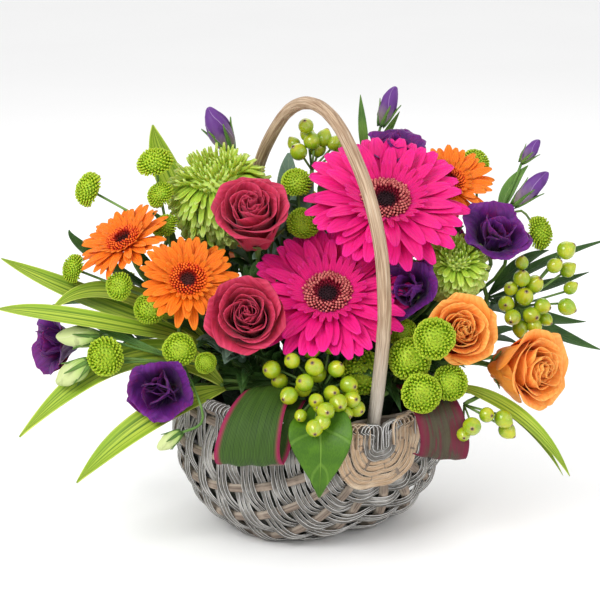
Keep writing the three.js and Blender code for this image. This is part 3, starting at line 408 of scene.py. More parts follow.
# The rim: one stout willow rod bent into the basket's oval and drawn in at the handle's feet. It is a tube
# along the oval, hidden under the skeins that turn over it.
RIM_STEPS = 96
RIM_HALF_WIDE = 88.0
RIM_HALF_LONG = 79.5
RIM_RISE = 13
RIM_ROD = 7.6
EYE_INSET = 14.5
EYE_WIDE = 17.0
rim_points = []
rim_outs = []
for k in range(RIM_STEPS + 1):
    turn = 2 * math.pi * k / RIM_STEPS
    half = abs(math.cos(turn))
    x = math.copysign(RIM_HALF_WIDE * half**SWELL_OUT, math.cos(turn))
    inset = EYE_INSET * math.exp(-((x / EYE_WIDE) ** 2))
    z = EYE_HEIGHT + RIM_RISE * half**SWELL_DOWN + RIM_LIFT
    rim_points.append(Vector((x, (RIM_HALF_LONG - inset) * math.sin(turn), z)))
    rim_outs.append(Vector((math.cos(turn), math.sin(turn), 0.0)).normalized())
rim = wrap_tube("rim_rod", rim_points, rim_outs, RIM_ROD, RIM_ROD, 10)
rim.data.transform(to_frame)
keep(join([rim], "rim_rod"), "willow", BROWN_RIB, "basket_rim")

# The handle: a peeled willow rod bent into a hoop from eye to eye, thicker at its front foot, where it is
# pushed down inside the first bands. Streaked tan bark, greyer at the foot. A tube along the hoop.
HOOP = (
    (74, 58), (74, 84), (79, 112), (84, 145), (85, 170), (80, 205), (64, 240), (40, 268), (20, 281), (0, 285),
)
HOOP_STEPS = 140
HOOP_WIDE = 9.7
HOOP_THICK = 8.6
KNOTS = (0.17, 0.37, 0.58, 0.8)
hoop = [Vector((0.0, -y, z)) for y, z in HOOP] + [Vector((0.0, y, z)) for y, z in reversed(HOOP[:-1])]


def smooth_line(points, count):
    """Points along a smooth line through the given ones."""
    fine = []
    last = len(points) - 1
    for k in range(count + 1):
        at = min(last * k / count, last - 1e-6)
        i = int(at)
        t = at - i
        p0 = points[i - 1] if i else points[0] * 2 - points[1]
        p3 = points[i + 2] if i + 2 <= last else points[last] * 2 - points[last - 1]
        p1, p2 = points[i], points[i + 1]
        fine.append(0.5 * (
            2 * p1
            + (p2 - p0) * t
            + (2 * p0 - 5 * p1 + 4 * p2 - p3) * t * t
            + (3 * p1 - p0 - 3 * p2 + p3) * t**3
        ))
    return fine


line = smooth_line(hoop, HOOP_STEPS)
girth = []
for k in range(len(line)):
    t = k / HOOP_STEPS
    knot = sum(math.exp(-(((t - at) / 0.008) ** 2)) for at in KNOTS)
    uneven = 1 + 0.1 * knot + 0.025 * math.sin(t * 61) + 0.02 * math.sin(t * 149)
    girth.append(HOOP_WIDE * (1 - 0.26 * t) * uneven)
handle = wrap_tube("handle", line, [Vector((1.0, 0.0, 0.0))] * len(line), girth, HOOP_THICK, 14)
handle.data.transform(to_frame)
material, shader, place, map_place = surface("handle_bark", 0.6)
streaks = map_place.noise(9.0, 5.0, (3.2, 1.6, 1.0), 1.0)
fine_streaks = map_place.noise(30.0, 5.0, (3.0, 1.0, 1.0), 0.3)
bark = streaks.rise(0.35, 0.68).between((0.25, 0.15, 0.085), (0.55, 0.4, 0.27))
bark = fine_streaks.rise(0.5, 0.75).between(bark, (0.68, 0.56, 0.42))
grey = fine_streaks.rise(0.3, 0.7).between((0.36, 0.3, 0.25), (0.62, 0.57, 0.5))
feed(shader, "Base Color", place.along("Z").rise(0.09, 0.17).between(grey, bark))
feed(shader, "Roughness", 0.45 + fine_streaks * 0.35)
raise_grain(shader, streaks + fine_streaks * 0.6, 0.0007)
keep(join([handle], "handle"), "handle_wood", material, "basket_handle")

# The liner: a sheet of dark film pushed down inside the wall, to keep the water in, and creased there. It
# is a flat grid pressed to the wall's shape, and ends a little under the rim.
FILM_ACROSS = 72
FILM_ALONG = 56
FILM_REACH = 0.93
FILM_THICK = 0.0006
FILM_INSIDE = 5.6
FILM_FLOOR = 4.2
film_at = random.Random(5)


def thicken(sheet, thick, levels=1, offset=0.0):
    """Gives a sheet its thickness and rounds it, with the modifiers applied."""
    bpy.context.view_layer.objects.active = sheet
    solid = sheet.modifiers.new("thickness", "SOLIDIFY")
    solid.thickness = thick
    solid.offset = offset
    bpy.ops.object.modifier_apply(modifier="thickness")
    if levels:
        rounded = sheet.modifiers.new("rounding", "SUBSURF")
        rounded.levels = levels
        rounded.render_levels = levels
        bpy.ops.object.modifier_apply(modifier="rounding")
    return sheet


film = flat_grid("film", FILM_ACROSS, FILM_ALONG)
for vert in film.data.vertices:
    row, column = divmod(vert.index, FILM_ACROSS + 1)
    s = 0.07 + 0.86 * row / FILM_ALONG
    w = (column / FILM_ACROSS * 2 - 1) * FILM_REACH
    crease = math.sin(row * 1.7 + 2.3 * math.sin(column * 0.31))
    crease += math.sin(column * 1.3 + 1.9 * math.sin(row * 0.23))
    inward = FILM_INSIDE + 0.7 * crease + 0.5 * film_at.random()
    at = wall(s, w) - wall_out(s, w) * inward
    at.z = max(at.z, FILM_FLOOR + 0.2 * crease)
    vert.co = at
film.data.transform(to_frame)
thicken(film, FILM_THICK, 0, 1.0)
material, shader, place, _ = surface("dark_film", 0.28)
creases = place.noise(45.0, 4.0, (1.0, 1.0, 0.3), 1.5)
feed(shader, "Base Color", creases.rise(0.35, 0.7).between((0.012, 0.014, 0.01), (0.05, 0.055, 0.04)))
raise_grain(shader, creases, 0.004)
keep(join([film], "film"), "film", material, "film_liner")

# The foam: a green wet block with a granular face, cut to fit the liner, that holds every stem. The part's
# own solid is kept here, with its holes, and only gets its look.
material, shader, place, _ = surface("wet_foam", 0.85)
grains = place.noise(900.0, 3.0)
feed(shader, "Base Color", grains.rise(0.3, 0.7).between((0.012, 0.035, 0.014), (0.03, 0.075, 0.03)))
raise_grain(shader, grains, 0.0012)
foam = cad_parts["floral_foam"]
foam.data.materials.clear()
foam.data.materials.append(material)

# The pink gerberas: rings of long strap petals, with short ones inside, round a dark eye on leafless stems.
# Soft satin petals, hot pink with a paler foot and fine grooves. One petal of each kind is pinched and
# curled from a flat grid, and copied round the head.
STEM_FOOT = 74
FOAM_TOP = 100
STEPS_PER_BEND = 5
STALK_SIDES = 7


def share_of(values, at):
    """The value at that share of the way along a list, or the number itself."""
    if isinstance(values, (int, float)):
        return values
    at *= len(values) - 1
    low = min(int(at), len(values) - 2)
    return values[low] + (values[low + 1] - values[low]) * (at - low)


def blank(name, columns, rows, length, halves, turns, curl=0.0, groove=0.0):
    """A petal from a flat grid: foot at the origin, tip along +Y, upper face +Z.

    halves are the half widths of its rows, turns how far each row turns up, and curl how far its sides do.
    """
    petal = flat_grid(name, columns, rows)
    bpy.ops.object.mode_set(mode="EDIT")
    grid = bmesh.from_edit_mesh(petal.data)
    grid.verts.ensure_lookup_table()

    def pick(wanted):
        for vert in grid.verts:
            vert.select = wanted(*divmod(vert.index, columns + 1))
        grid.select_flush_mode()

    bpy.ops.mesh.select_all(action="SELECT")
    bpy.ops.transform.translate(value=(0.0, 0.5, 0.0))
    bpy.ops.transform.resize(value=(2.0, length, 1.0), center_override=(0.0, 0.0, 0.0))
    for row in range(rows + 1):
        pick(lambda r, c: r == row)
        half = max(share_of(halves, row / rows), 0.02)
        bpy.ops.transform.resize(value=(half, 1.0, 1.0), center_override=(0.0, 0.0, 0.0))
    if groove:
        pick(lambda r, c: c in (columns // 4, columns - columns // 4) and 0 < r < rows)
        bpy.ops.transform.translate(value=(0.0, 0.0, groove))
    if curl:
        for row in range(rows + 1):
            bend = share_of(curl, row / rows)
            for side in (1, -1):
                for step in range(columns // 2):
                    column = columns // 2 + side * step
                    pick(lambda r, c: r == row and (c - column) * side > 0)
                    hub = grid.verts[row * (columns + 1) + column].co
                    angle = side * math.radians(bend) / (columns // 2)
                    bpy.ops.transform.rotate(value=angle, orient_axis="Y", center_override=hub)
    for row in range(rows):
        pick(lambda r, c: r > row)
        hub = grid.verts[row * (columns + 1) + columns // 2].co
        angle = -math.radians(share_of(turns, row / max(rows - 1, 1)))
        bpy.ops.transform.rotate(value=angle, orient_axis="X", center_override=(0.0, hub.y, hub.z))
    bpy.ops.object.mode_set(mode="OBJECT")
    return petal


def ball(segments, rings, radius, pressed=(1.0, 1.0, 1.0), at=(0.0, 0.0, 0.0)):
    """A ball, pressed or drawn out along its axes."""
    bpy.ops.mesh.primitive_uv_sphere_add(segments=segments, ring_count=rings, radius=radius, location=at)
    bpy.ops.transform.resize(value=pressed)
    bpy.ops.object.transform_apply(location=True, rotation=False, scale=True)
    return bpy.context.object


def copied(source, matrix):
    """A copy with its own mesh, moved there."""
    copy = source.copy()
    copy.data = source.data.copy()
    bpy.context.collection.objects.link(copy)
    copy.data.transform(matrix)
    return copy


def ring(kinds, count, radius, height, tilt, rng, start=0.0, size=1.0, loose=1.0):
    """Copies of petals round the head's axis. tilt turns them up, and loose is how irregular they are."""
    bits = []
    for k in range(count):
        turn = start + 2 * math.pi * (k + 0.16 * loose * (rng.random() - 0.5)) / count
        up = math.radians(tilt + 9 * loose * (rng.random() - 0.5))
        roll = math.radians(16 * loose * (rng.random() - 0.5))
        big = size * (1 + 0.1 * loose * (rng.random() - 0.5))
        place = (
            Matrix.Rotation(turn, 4, "Z")
            @ Matrix.Translation((0.0, radius, height))
            @ Matrix.Rotation(up, 4, "X")
            @ Matrix.Rotation(roll, 4, "Y")
            @ Matrix.Diagonal((big, big, big, 1.0))
        )
        bits.append(copied(rng.choice(kinds), place))
    return bits


def drop(*sources):
    """Removes what was only there to be copied."""
    for source in sources:
        bpy.data.objects.remove(source, do_unlink=True)


def facing(towards):
    """The way that looks so many degrees right of the viewer, and so many above level."""
    right, up = (math.radians(a) for a in towards)
    return Vector((math.sin(right) * math.cos(up), -math.cos(right) * math.cos(up), math.sin(up)))


def set_head(source, name, at, towards, size=1.0, spin=0.0):
    """A copy of a head at that place in mm, which looks that way."""
    turn = facing(towards).to_track_quat("Z", "Y").to_matrix().to_4x4()
    scale = size * TO_METRES
    place = Matrix.Translation(Vector(at) * TO_METRES) @ turn @ Matrix.Rotation(spin, 4, "Z")
    head = copied(source, place @ Matrix.Diagonal((scale, scale, scale, 1.0)))
    head.name = name
    return head


def stalk(points, radius):
    """A round stem through points in mm."""
    path = [Vector(p) for p in points]
    if len(path) > 2:
        path = smooth_line(path, STEPS_PER_BEND * (len(path) - 1))
    side = Vector((0.31, 0.95, 0.05)).normalized()
    tube = wrap_tube("stalk", path, [side] * len(path), 2 * radius, 2 * radius, STALK_SIDES)
    tube.data.transform(Matrix.Diagonal((TO_METRES, TO_METRES, TO_METRES, 1.0)))
    return tube


def planted(stem, radius):
    """A stem that stands upright in the foam at its first point, and bends through the others."""
    (x, y), *bends = stem
    return stalk(((x, y, STEM_FOOT), (x, y, FOAM_TOP), *bends), radius)


def petal_look(name, foot, body, tip, vein, foot_at, tip_at, veins, roughness, mottle, **fixed):
    """Petal colours along the petal's own map, with veins along it and a silky sheen."""
    material, shader, place, map_place = surface(
        name, roughness, Subsurface_Weight=0.15, Subsurface_Scale=0.004, **fixed
    )
    waver = place.noise(140.0, 2.0)
    grooves = (map_place.along("X") + waver * 0.03) * (veins * 2 * math.pi)
    lines = place.maths("SINE", grooves) * 0.5 + 0.5
    fibres = map_place.noise(6.0, 3.0, (veins * 1.4, 0.7, 1.0))
    clouds = place.noise(55.0, 3.0)
    length = map_place.along("Y")
    colour = length.rise(*foot_at).between(foot, body)
    colour = length.rise(*tip_at).between(colour, tip)
    streak = lines.rise(0.55, 1.0) * 0.3 + fibres.rise(0.45, 0.75) * 0.45
    colour = streak.between(colour, vein)
    colour = (clouds.rise(0.35, 0.75) * mottle).between(colour, tuple(0.55 * c for c in body))
    feed(shader, "Base Color", colour)
    feed(shader, "Roughness", roughness - 0.08 + clouds * 0.2)
    raise_grain(shader, lines * 0.6 + fibres * 0.8, 0.0004)
    return material


LEAF_GREEN, shader, place, map_place = surface("green_stem", 0.5)
ridges = map_place.noise(5.0, 3.0, (4.0, 0.6, 1.0))
mixed = (ridges * 0.6 + place.noise(60.0, 3.0) * 0.5).rise(0.3, 0.8)
feed(shader, "Base Color", mixed.between((0.07, 0.14, 0.03), (0.2, 0.34, 0.08)))
raise_grain(shader, ridges, 0.0003)


def keep_green(bits, name, material=LEAF_GREEN):
    """Stems and other green bits, joined into one piece."""
    keep(join(bits, name), "broad_leaf", material)


def strap_head(name, long_petals, short_petals, rows, rng):
    """Rings of petals. Each row says which kind, how many, their radius, height, tilt, start and size."""
    straps = []
    for kinds, count, radius, height, tilt, start, size in rows:
        straps += ring(kinds, count, radius, height, tilt, rng, start, size)
    head = join(straps, name)
    drop(*long_petals, *short_petals)
    return head


PINK_HALVES = (2.6, 4.1, 5.4, 6.3, 6.6, 6.2, 4.8, 1.9)
PINK_TURNS = (
    (1.0, (2.0, 1.2, 0.6, -1.0, -2.6, -3.6)),
    (0.95, (2.6, 1.8, 1.0, 0.4, -0.6, -2.0)),
    (1.04, (1.4, 0.4, -0.8, -1.6, -2.6, -2.6)),
)
long_petals = [
    thicken(blank("strap", 4, 8, 40 * stretch, PINK_HALVES, turns, 26, 0.45), 0.5)
    for stretch, turns in PINK_TURNS
]
short_petals = [
    thicken(blank("strap", 4, 6, 17, (1.2, 2.0, 2.3, 1.9, 0.8), turns, 24, 0.25), 0.45, 0)
    for turns in ((3.0, 1.0, -1.0), (5.0, 3.0, 1.0))
]
pink_head = strap_head("pink_head", long_petals, short_petals, (
    (long_petals, 20, 12.5, -2.6, 1.0, 0.0, 1.0),
    (long_petals, 20, 12.0, -1.4, 5.0, math.pi / 20, 0.97),
    (long_petals, 15, 11.5, -0.4, 9.0, 0.1, 0.8),
    (short_petals, 30, 12.2, 0.4, 24.0, 0.05, 1.0),
), random.Random(3))
PINK = petal_look(
    "pink_petal", (0.93, 0.36, 0.58), (0.84, 0.004, 0.20), (0.88, 0.008, 0.27), (0.58, 0.0, 0.12),
    (0.0, 0.3), (0.75, 1.0), 4.0, 0.45, 0.25, Sheen_Weight=0.05,
)

# The eye of a gerbera: a domed disc of tiny florets, dark in the middle, with taller ones round them that
# end in a paler tone. Each floret is a tapered peg, set in a sunflower pattern on a cushion.
GOLDEN_TURN = math.pi * (3 - math.sqrt(5))
EYE_LEAN = 42.0
EYE_ARCH = 2.6
PEG_HEIGHT = 2.6


def floret_peg(name, tall, wide, sides=5):
    """One tiny floret: a tapered peg whose top is pinched to a point."""
    bpy.ops.object.select_all(action="DESELECT")
    bpy.ops.mesh.primitive_cone_add(
        vertices=sides, radius1=wide / 2, radius2=wide * 0.62, depth=tall, location=(0, 0, tall / 2)
    )
    bpy.ops.object.transform_apply(location=True, rotation=False, scale=False)
    bpy.ops.object.mode_set(mode="EDIT")
    grid = bmesh.from_edit_mesh(bpy.context.object.data)
    for face in grid.faces:
        face.select = face.normal.z > 0.9
    grid.select_flush(True)
    bpy.ops.mesh.inset(thickness=wide * 0.16)
    bpy.ops.transform.translate(value=(0.0, 0.0, tall * 0.22))
    bpy.ops.object.mode_set(mode="OBJECT")
    bpy.context.object.name = name
    return bpy.context.object


def dome(peg, count, reach, tops, rng):
    """Pegs in a sunflower pattern over a dome. tops gives a height and a size for each share of the reach."""
    bits = []
    for k in range(count):
        share = math.sqrt((k + 0.5) / count)
        turn = k * GOLDEN_TURN
        height, big = tops(share)
        big *= 0.9 + 0.2 * rng.random()
        place = (
            Matrix.Translation((math.cos(turn) * share * reach, math.sin(turn) * share * reach, height))
            @ Matrix.Rotation(turn, 4, "Z")
            @ Matrix.Rotation(math.radians(EYE_LEAN * share + 8 * (rng.random() - 0.5)), 4, "Y")
            @ Matrix.Diagonal((big, big, big, 1.0))
        )
        bits.append(copied(peg, place))
    return bits


def eye_look(name, middle, ring_dark, ring_pale):
    """Colours by how far out a point is, with pale tips by how far up its peg it is."""
    material, shader, place, _ = surface(name, 0.6)
    share = place.written("share")
    colour = share.rise(0.35, 0.62).between(middle, ring_dark)
    tint = place.noise(500.0, 2.0)
    tips = place.written("height").rise(0.55, 0.95) * share.rise(0.5, 0.66) * tint.rise(0.3, 0.6)
    feed(shader, "Base Color", tips.between(colour, ring_pale))
    return material


def eye_head(name, segments, count, reach, tops, rng):
    """A cushion with its pegs. Each point is marked with how far out it is and how high up its peg."""
    pegs = dome(peg, count, reach, tops, rng)
    head = join([*pegs, ball(segments, 8, reach, (1.0, 1.0, 0.16), (0, 0, -0.3))], name)
    share = head.data.attributes.new("share", "FLOAT", "POINT")
    height = head.data.attributes.new("height", "FLOAT", "POINT")
    for index, vert in enumerate(head.data.vertices):
        out = min(math.hypot(vert.co.x, vert.co.y) / reach, 1.2)
        base, big = tops(min(out, 1.0))
        share.data[index].value = out
        height.data[index].value = min(max((vert.co.z - base) / (big * PEG_HEIGHT), 0.0), 1.0)
    return head


def eye_tops(edge, inner, outer):
    """How high its pegs stand and how big they are, by the share of the way out."""

    def tops(share):
        low, rise, big = inner if share < edge else outer
        return low + rise * math.sin(share * EYE_ARCH), big

    return tops


def plant_gerberas(colour, heads, head, petals, eye, slot, florets):
    """Sets each head and its eye on a stem in the foam."""
    for name, (at, towards, size, spin, stem) in heads.items():
        piece = f"{colour}_gerbera_{name}"
        node = f"gerbera_{colour}_{name}"
        keep(set_head(head, piece, at, towards, size, spin), colour + "_petal", petals, node + "_petals")
        keep(set_head(eye, piece + "_eye", at, towards, size, spin), slot, florets, node + "_eye")
        keep_green([planted(stem, 2.1)], piece + "_stem")
    drop(head, eye)


peg = floret_peg("peg", 2.4, 1.15)
pink_tops = eye_tops(0.55, (0.3, 1.6, 0.8), (0.6, 2.2, 1.25))
pink_eye = eye_head("pink_eye_head", 24, 210, 14.2, pink_tops, random.Random(5))
PINK_EYE = eye_look("dark_florets", (0.02, 0.004, 0.008), (0.28, 0.006, 0.03), (0.66, 0.20, 0.17))
PINK_HEADS = {
    "upper": ((48, -8, 222), (3, 51), 1.03, 0.2, ((23.1, -2), (48.6, 18.1, 189.6), (49.8, -4.3, 220))),
    "lower": ((10, -36, 166), (-4, 50), 1.0, 1.1, ((6.2, -19.4), (11.1, -20.1, 147), (10.3, -32.2, 163))),
}
plant_gerberas("pink", PINK_HEADS, pink_head, PINK, pink_eye, "dark_eye", PINK_EYE)

# The orange gerberas: smaller heads of the same build, orange, with red florets round a dark middle. Their
# petals and florets are made and set as the pink ones are.
ORANGE_HALVES = (1.8, 2.7, 3.4, 3.8, 3.7, 2.9, 1.0)
ORANGE_TURNS = (
    (1.0, (2.0, 1.0, -0.6, -3.0)),
    (0.93, (3.0, 2.0, 1.0, -1.0)),
    (1.04, (1.0, -0.6, -2.0, -3.0)),
)
long_petals = [
    thicken(blank("strap", 4, 6, 23.5 * stretch, ORANGE_HALVES, turns, 22, 0.3), 0.45)
    for stretch, turns in ORANGE_TURNS
]
short_petals = [thicken(blank("strap", 4, 5, 10, (1.0, 1.6, 1.7, 0.6), (4.0, 1.0), 20, 0.2), 0.4, 0)]
orange_head = strap_head("orange_head", long_petals, short_petals, (
    (long_petals, 16, 9.0, -2.0, 3.0, 0.0, 1.0),
    (long_petals, 16, 8.6, -1.0, 8.0, math.pi / 16, 0.96),
    (long_petals, 12, 8.2, -0.3, 13.0, 0.1, 0.78),
    (short_petals, 22, 8.4, 0.3, 26.0, 0.0, 1.0),
), random.Random(8))
ORANGE = petal_look(
    "orange_petal", (0.93, 0.17, 0.008), (0.93, 0.19, 0.004), (0.95, 0.26, 0.012), (0.78, 0.085, 0.0),
    (0.0, 0.3), (0.7, 1.0), 4.0, 0.45, 0.15, Sheen_Weight=0.04,
)
orange_tops = eye_tops(0.45, (0.3, 1.2, 0.7), (0.5, 1.8, 1.0))
orange_eye = eye_head("orange_eye_head", 20, 150, 10.6, orange_tops, random.Random(6))
ORANGE_EYE = eye_look("red_florets", (0.06, 0.008, 0.006), (0.55, 0.018, 0.005), (0.90, 0.17, 0.015))
ORANGE_HEADS = {
    "upper": (
        (-123, -10, 196), (-42, 56), 1.0, 0.3, ((-39.7, -2.5), (-107.1, 7.7, 160.7), (-121.5, -8, 193)),
    ),
    "lower": ((-80, -45, 178), (6, 40), 1.0, 0.9, ((-34.5, -20.7), (-70, -25.5, 157.1), (-76, -46, 174))),
    "right": ((90, 17, 229), (2, 50), 0.97, 1.7, ((35.4, 13.2), (84.4, 39.8, 189.8), (90.2, 20, 226))),
    "back": ((-66, 84, 168), (205, 34), 1.0, 2.3, ((-18, 31.5), (-54.2, 58.6, 149.1), (-64, 80, 165))),
}
plant_gerberas("orange", ORANGE_HEADS, orange_head, ORANGE, orange_eye, "red_eye", ORANGE_EYE)
drop(peg)

# The roses: cupped petals wound round a tight heart, the outer ones opened out with a rolled lip, on a
# stem. Raspberry crimson and apricot orange, velvety. Six kinds of petal, each curled from a flat grid.
ROSE_THICK = 0.4
ROSE_PETALS = {
    "heart": (7, 6, 25, (3, 5, 6.5, 7, 6.5, 3), (1, 1, 1, 4), (105, 120, 135, 130)),
    "inner": (7, 7, 27, (3.5, 7, 9.5, 10.5, 10, 5), (2, 1, 0, -4), (100, 104, 104, 90)),
    "second": (7, 7, 28, (4, 8.5, 11.5, 12.5, 12, 6), (3, 2, 0, -7), (92, 92, 92, 74)),
    "middle": (7, 7, 30, (4, 10, 14.5, 16, 15.5, 8), (5, 3, 0, -12), (84, 84, 80, 58)),
    "outer": (8, 8, 33, (4, 11, 17.5, 20, 20, 17, 9), (8, 4, 0, -24), (76, 74, 66, 34)),
    "guard": (8, 8, 34, (4, 12, 19, 22, 22, 18, 9), (9, 5, -2, -32), (70, 66, 52, 14)),
}
# kind, how many, radius, height, tilt, start, size and looseness
ROSE_RINGS = (
    ("heart", 3, 2.6, -7.0, 87.0, 0.0, 1.0, 0.5),
    ("inner", 3, 4.2, -9.5, 85.0, 0.5, 1.0, 0.5),
    ("second", 4, 5.8, -12.0, 83.0, 1.2, 1.0, 0.5),
    ("middle", 4, 7.4, -14.5, 80.0, 0.2, 1.0, 0.6),
    ("middle", 5, 8.8, -16.5, 75.0, 0.9, 1.06, 0.6),
    ("outer", 5, 9.6, -19.0, 67.0, 0.3, 1.0, 0.7),
    ("guard", 5, 9.8, -20.5, 57.0, 0.9, 1.0, 0.8),
)
rng = random.Random(21)
cut = {name: thicken(blank(name, *shape), ROSE_THICK) for name, shape in ROSE_PETALS.items()}
wound = []
for kind, count, radius, height, tilt, start, size, loose in ROSE_RINGS:
    wound += ring([cut[kind]], count, radius, height, tilt, rng, start, size, loose)
rose_head = join(wound, "rose_head")
drop(*cut.values())
rose_hip = ball(16, 10, 10.5, at=(0, 0, -16))
sepal = thicken(blank("sepal", 2, 6, 21, (3.4, 3.2, 2.2, 0.3), (10, 8, 3, -8), 30), 0.6)
rose_hip = join([rose_hip, *ring([sepal], 5, 6.5, -22.0, 28.0, rng, 0.4)], "rose_hip")
drop(sepal)
CRIMSON = petal_look(
    "crimson_petal", (0.34, 0.010, 0.035), (0.47, 0.014, 0.055), (0.60, 0.040, 0.11), (0.34, 0.008, 0.035),
    (0.1, 0.5), (0.72, 1.0), 6.0, 0.5, 0.5, Sheen_Weight=0.08,
)
APRICOT = petal_look(
    "apricot_petal", (0.92, 0.24, 0.012), (0.98, 0.33, 0.04), (0.98, 0.43, 0.10), (0.94, 0.26, 0.03),
    (0.1, 0.5), (0.7, 1.0), 6.0, 0.5, 0.12, Sheen_Weight=0.06,
)


def wobble(piece, depth, grain, seed):
    """Small waves through the whole piece, so that no two copies are alike. Metres."""
    clouds = bpy.data.textures.new(piece.name + "_waves", "CLOUDS")
    clouds.noise_scale = grain
    clouds.cloud_type = "COLOR"
    piece.data.transform(Matrix.Translation((seed, 0.0, 0.0)))
    waves = piece.modifiers.new("waves", "DISPLACE")
    waves.texture = clouds
    waves.direction = "RGB_TO_XYZ"
    waves.mid_level = 0.5
    waves.strength = depth
    bpy.context.view_layer.objects.active = piece
    bpy.ops.object.modifier_apply(modifier="waves")
    piece.data.transform(Matrix.Translation((-seed, 0.0, 0.0)))
    bpy.data.textures.remove(clouds)


ROSES = {
    "crimson_upper": (
        (-38, -27, 215), (-8, 50), 1.14, 0.4, ((-22.8, -8.5), (-34, 1.4, 169), (-36.1, -13.5, 193)),
    ),
    "crimson_lower": (
        (-41, -59, 157), (-3, 27), 1.15, 1.9, ((-24.1, -20.7), (-41.1, -22.1, 139), (-42, -36.1, 147)),
    ),
    "crimson_back": (
        (30, 66, 196), (165, 40), 1.0, 3.0, ((14.5, 27.6), (20.2, 29.3, 164), (25.1, 47.8, 180)),
    ),
    "orange_near": ((94, -47, 144), (14, 24), 1.06, 5.1, ((31, -8.1), (87.3, -5, 127), (92.8, -24.4, 136))),
    "orange_right": (
        (139, -42, 118), (40, 10), 1.18, 4.2, ((39.5, -1.9), (100.3, -8.7, 112), (119.6, -24.9, 115)),
    ),
}
for seed, (name, (at, towards, size, spin, stem)) in enumerate(ROSES.items()):
    ink, slot = (CRIMSON, "crimson_petal") if "crimson" in name else (APRICOT, "apricot_petal")
    head = set_head(rose_head, "rose_petals_" + name, at, towards, size, spin)
    wobble(head, depth=0.0035, grain=0.022, seed=0.3 * seed)
    keep(head, slot, ink, "rose_" + name)
    hip = set_head(rose_hip, "hip", at, towards, size * 0.94, spin)
    keep_green([hip, planted(stem, 2.0)], f"rose_{name}_stem")
drop(rose_head, rose_hip)

# The chrysanthemums: a dense dome of narrow lime quills, the longest hanging at the rim and the tight ones
# curled in at the middle. Each quill is a strap with curled sides, set on a round core.
rng = random.Random(31)
quills = [
    thicken(blank("quill", 2, 5, 10, (1.5, 2.1, 2.5, 2.3, 1.3), turns, 32), 0.3, 0)
    for turns in ((-12, -10, 2, 26), (-10, -8, 6, 34), (-12, -8, -4, 20))
]
tight_quill = thicken(blank("tight_quill", 2, 5, 10, (1.3, 1.6, 1.7, 1.5, 0.9), (6, 10, 12, 16), 44), 0.3, 0)
TIGHT_SHARE = 0.42
RIM_LEAN = 104.0


def quill_dome(name, count, core, longest, shortest, droop):
    """Quills in a sunflower pattern over a core, leaning out and hanging more towards the rim."""
    bits = [ball(18, 12, core + 0.2, (1.0, 1.0, 0.9))]
    for k in range(count):
        share = math.sqrt((k + 0.5) / count)
        lean = math.radians(RIM_LEAN * share + 7 * (rng.random() - 0.5))
        long = (shortest + (longest - shortest) * share**0.9) / 10 * (0.86 + 0.28 * rng.random())
        wide = 0.7 + 0.55 * share
        hang = math.radians(droop * min(1.0, 1.6 * share**1.3) * (0.86 + 0.24 * rng.random()))
        bits.append(copied(rng.choice(quills) if share > TIGHT_SHARE else tight_quill, (
            Matrix.Rotation(k * GOLDEN_TURN, 4, "Z")
            @ Matrix.Translation((0.0, core * math.sin(lean), core * 0.9 * math.cos(lean)))
            @ Matrix.Rotation(math.pi / 2 - lean - hang, 4, "X")
            @ Matrix.Rotation(0.3 * (rng.random() - 0.5), 4, "Y")
            @ Matrix.Diagonal((wide, long, long * 0.8, 1.0))
        )))
    return join(bits, name)


large_dome = quill_dome("large_dome", 460, 23.0, 25.0, 7.5, 66.0)
small_dome = quill_dome("small_dome", 300, 13.0, 16.0, 6.0, 40.0)
drop(*quills, tight_quill)
# The darker foot colour is painted shade towards the core of the dome, where the quills crowd together.
LIME = petal_look(
    "lime_quill", (0.24, 0.42, 0.02), (0.47, 0.65, 0.06), (0.70, 0.84, 0.24), (0.42, 0.60, 0.05),
    (0.0, 0.45), (0.6, 1.0), 2.0, 0.5, 0.2,
)
CHRYSANTHEMUMS = (
    (
        "large", large_dome, (-62, 28, 219), (-32, 66), 1.0, 0.2,
        ((-22.6, 13), (-51.3, 45.2, 173.4), (-58.5, 33.6, 204.2)),
    ),
    (
        "small", small_dome, (93, -16, 181), (10, 46), 0.98, 0.5,
        ((33.5, 2.2), (88.3, 10.9, 152.7), (91.6, -8.3, 172.9)),
    ),
)
for name, dome_of_quills, at, towards, size, seed, stem in CHRYSANTHEMUMS:
    head = set_head(dome_of_quills, "chrysanthemum_quills_" + name, at, towards, size)
    wobble(head, depth=0.003, grain=0.012, seed=seed)
    keep(head, "lime_petal", LIME, "chrysanthemum_" + name)
    keep_green([planted(stem, 2.2)], f"chrysanthemum_{name}_stem")
drop(large_dome, small_dome)

# The lisianthus: open cups of thin ruffled violet petals round a pale green pistil. Each petal is cupped
# from a flat grid, and they stand in three rings.
rng = random.Random(41)
cup_outer = [
    thicken(blank("cup", 10, 7, 27, (2, 8, 14, 16, 11), turns, (56, 46, 30, 4)), 0.4)
    for turns in ((12, 4, -4, -18), (8, 6, -2, -10))
]
cup_inner = [thicken(blank("cup_in", 8, 7, 25, (2, 7, 12, 13, 8), (9, 5, 1, -8), (76, 66, 52, 30)), 0.4)]
cups = ring(cup_outer, 5, 2.6, -14.0, 38.0, rng, 0.0, 1.0, 1.3)
cups += ring(cup_inner, 4, 2.0, -12.5, 62.0, rng, 0.6, 1.0, 1.3)
cups += ring(cup_inner, 3, 1.0, -11.5, 74.0, rng, 0.1, 0.84)
lisianthus_head = join(cups, "lisianthus_head")
drop(*cup_outer, *cup_inner)
PURPLE = petal_look(
    "violet_petal", (0.04, 0.008, 0.06), (0.062, 0.003, 0.105), (0.13, 0.008, 0.20), (0.04, 0.001, 0.065),
    (0.0, 0.3), (0.6, 1.0), 7.0, 0.48, 0.5, Sheen_Weight=0.08,
)
pistil = join([ball(10, 8, 1.0, (1.7, 1.7, 4.2), (0.0, 0.0, -7.0))], "pistil")
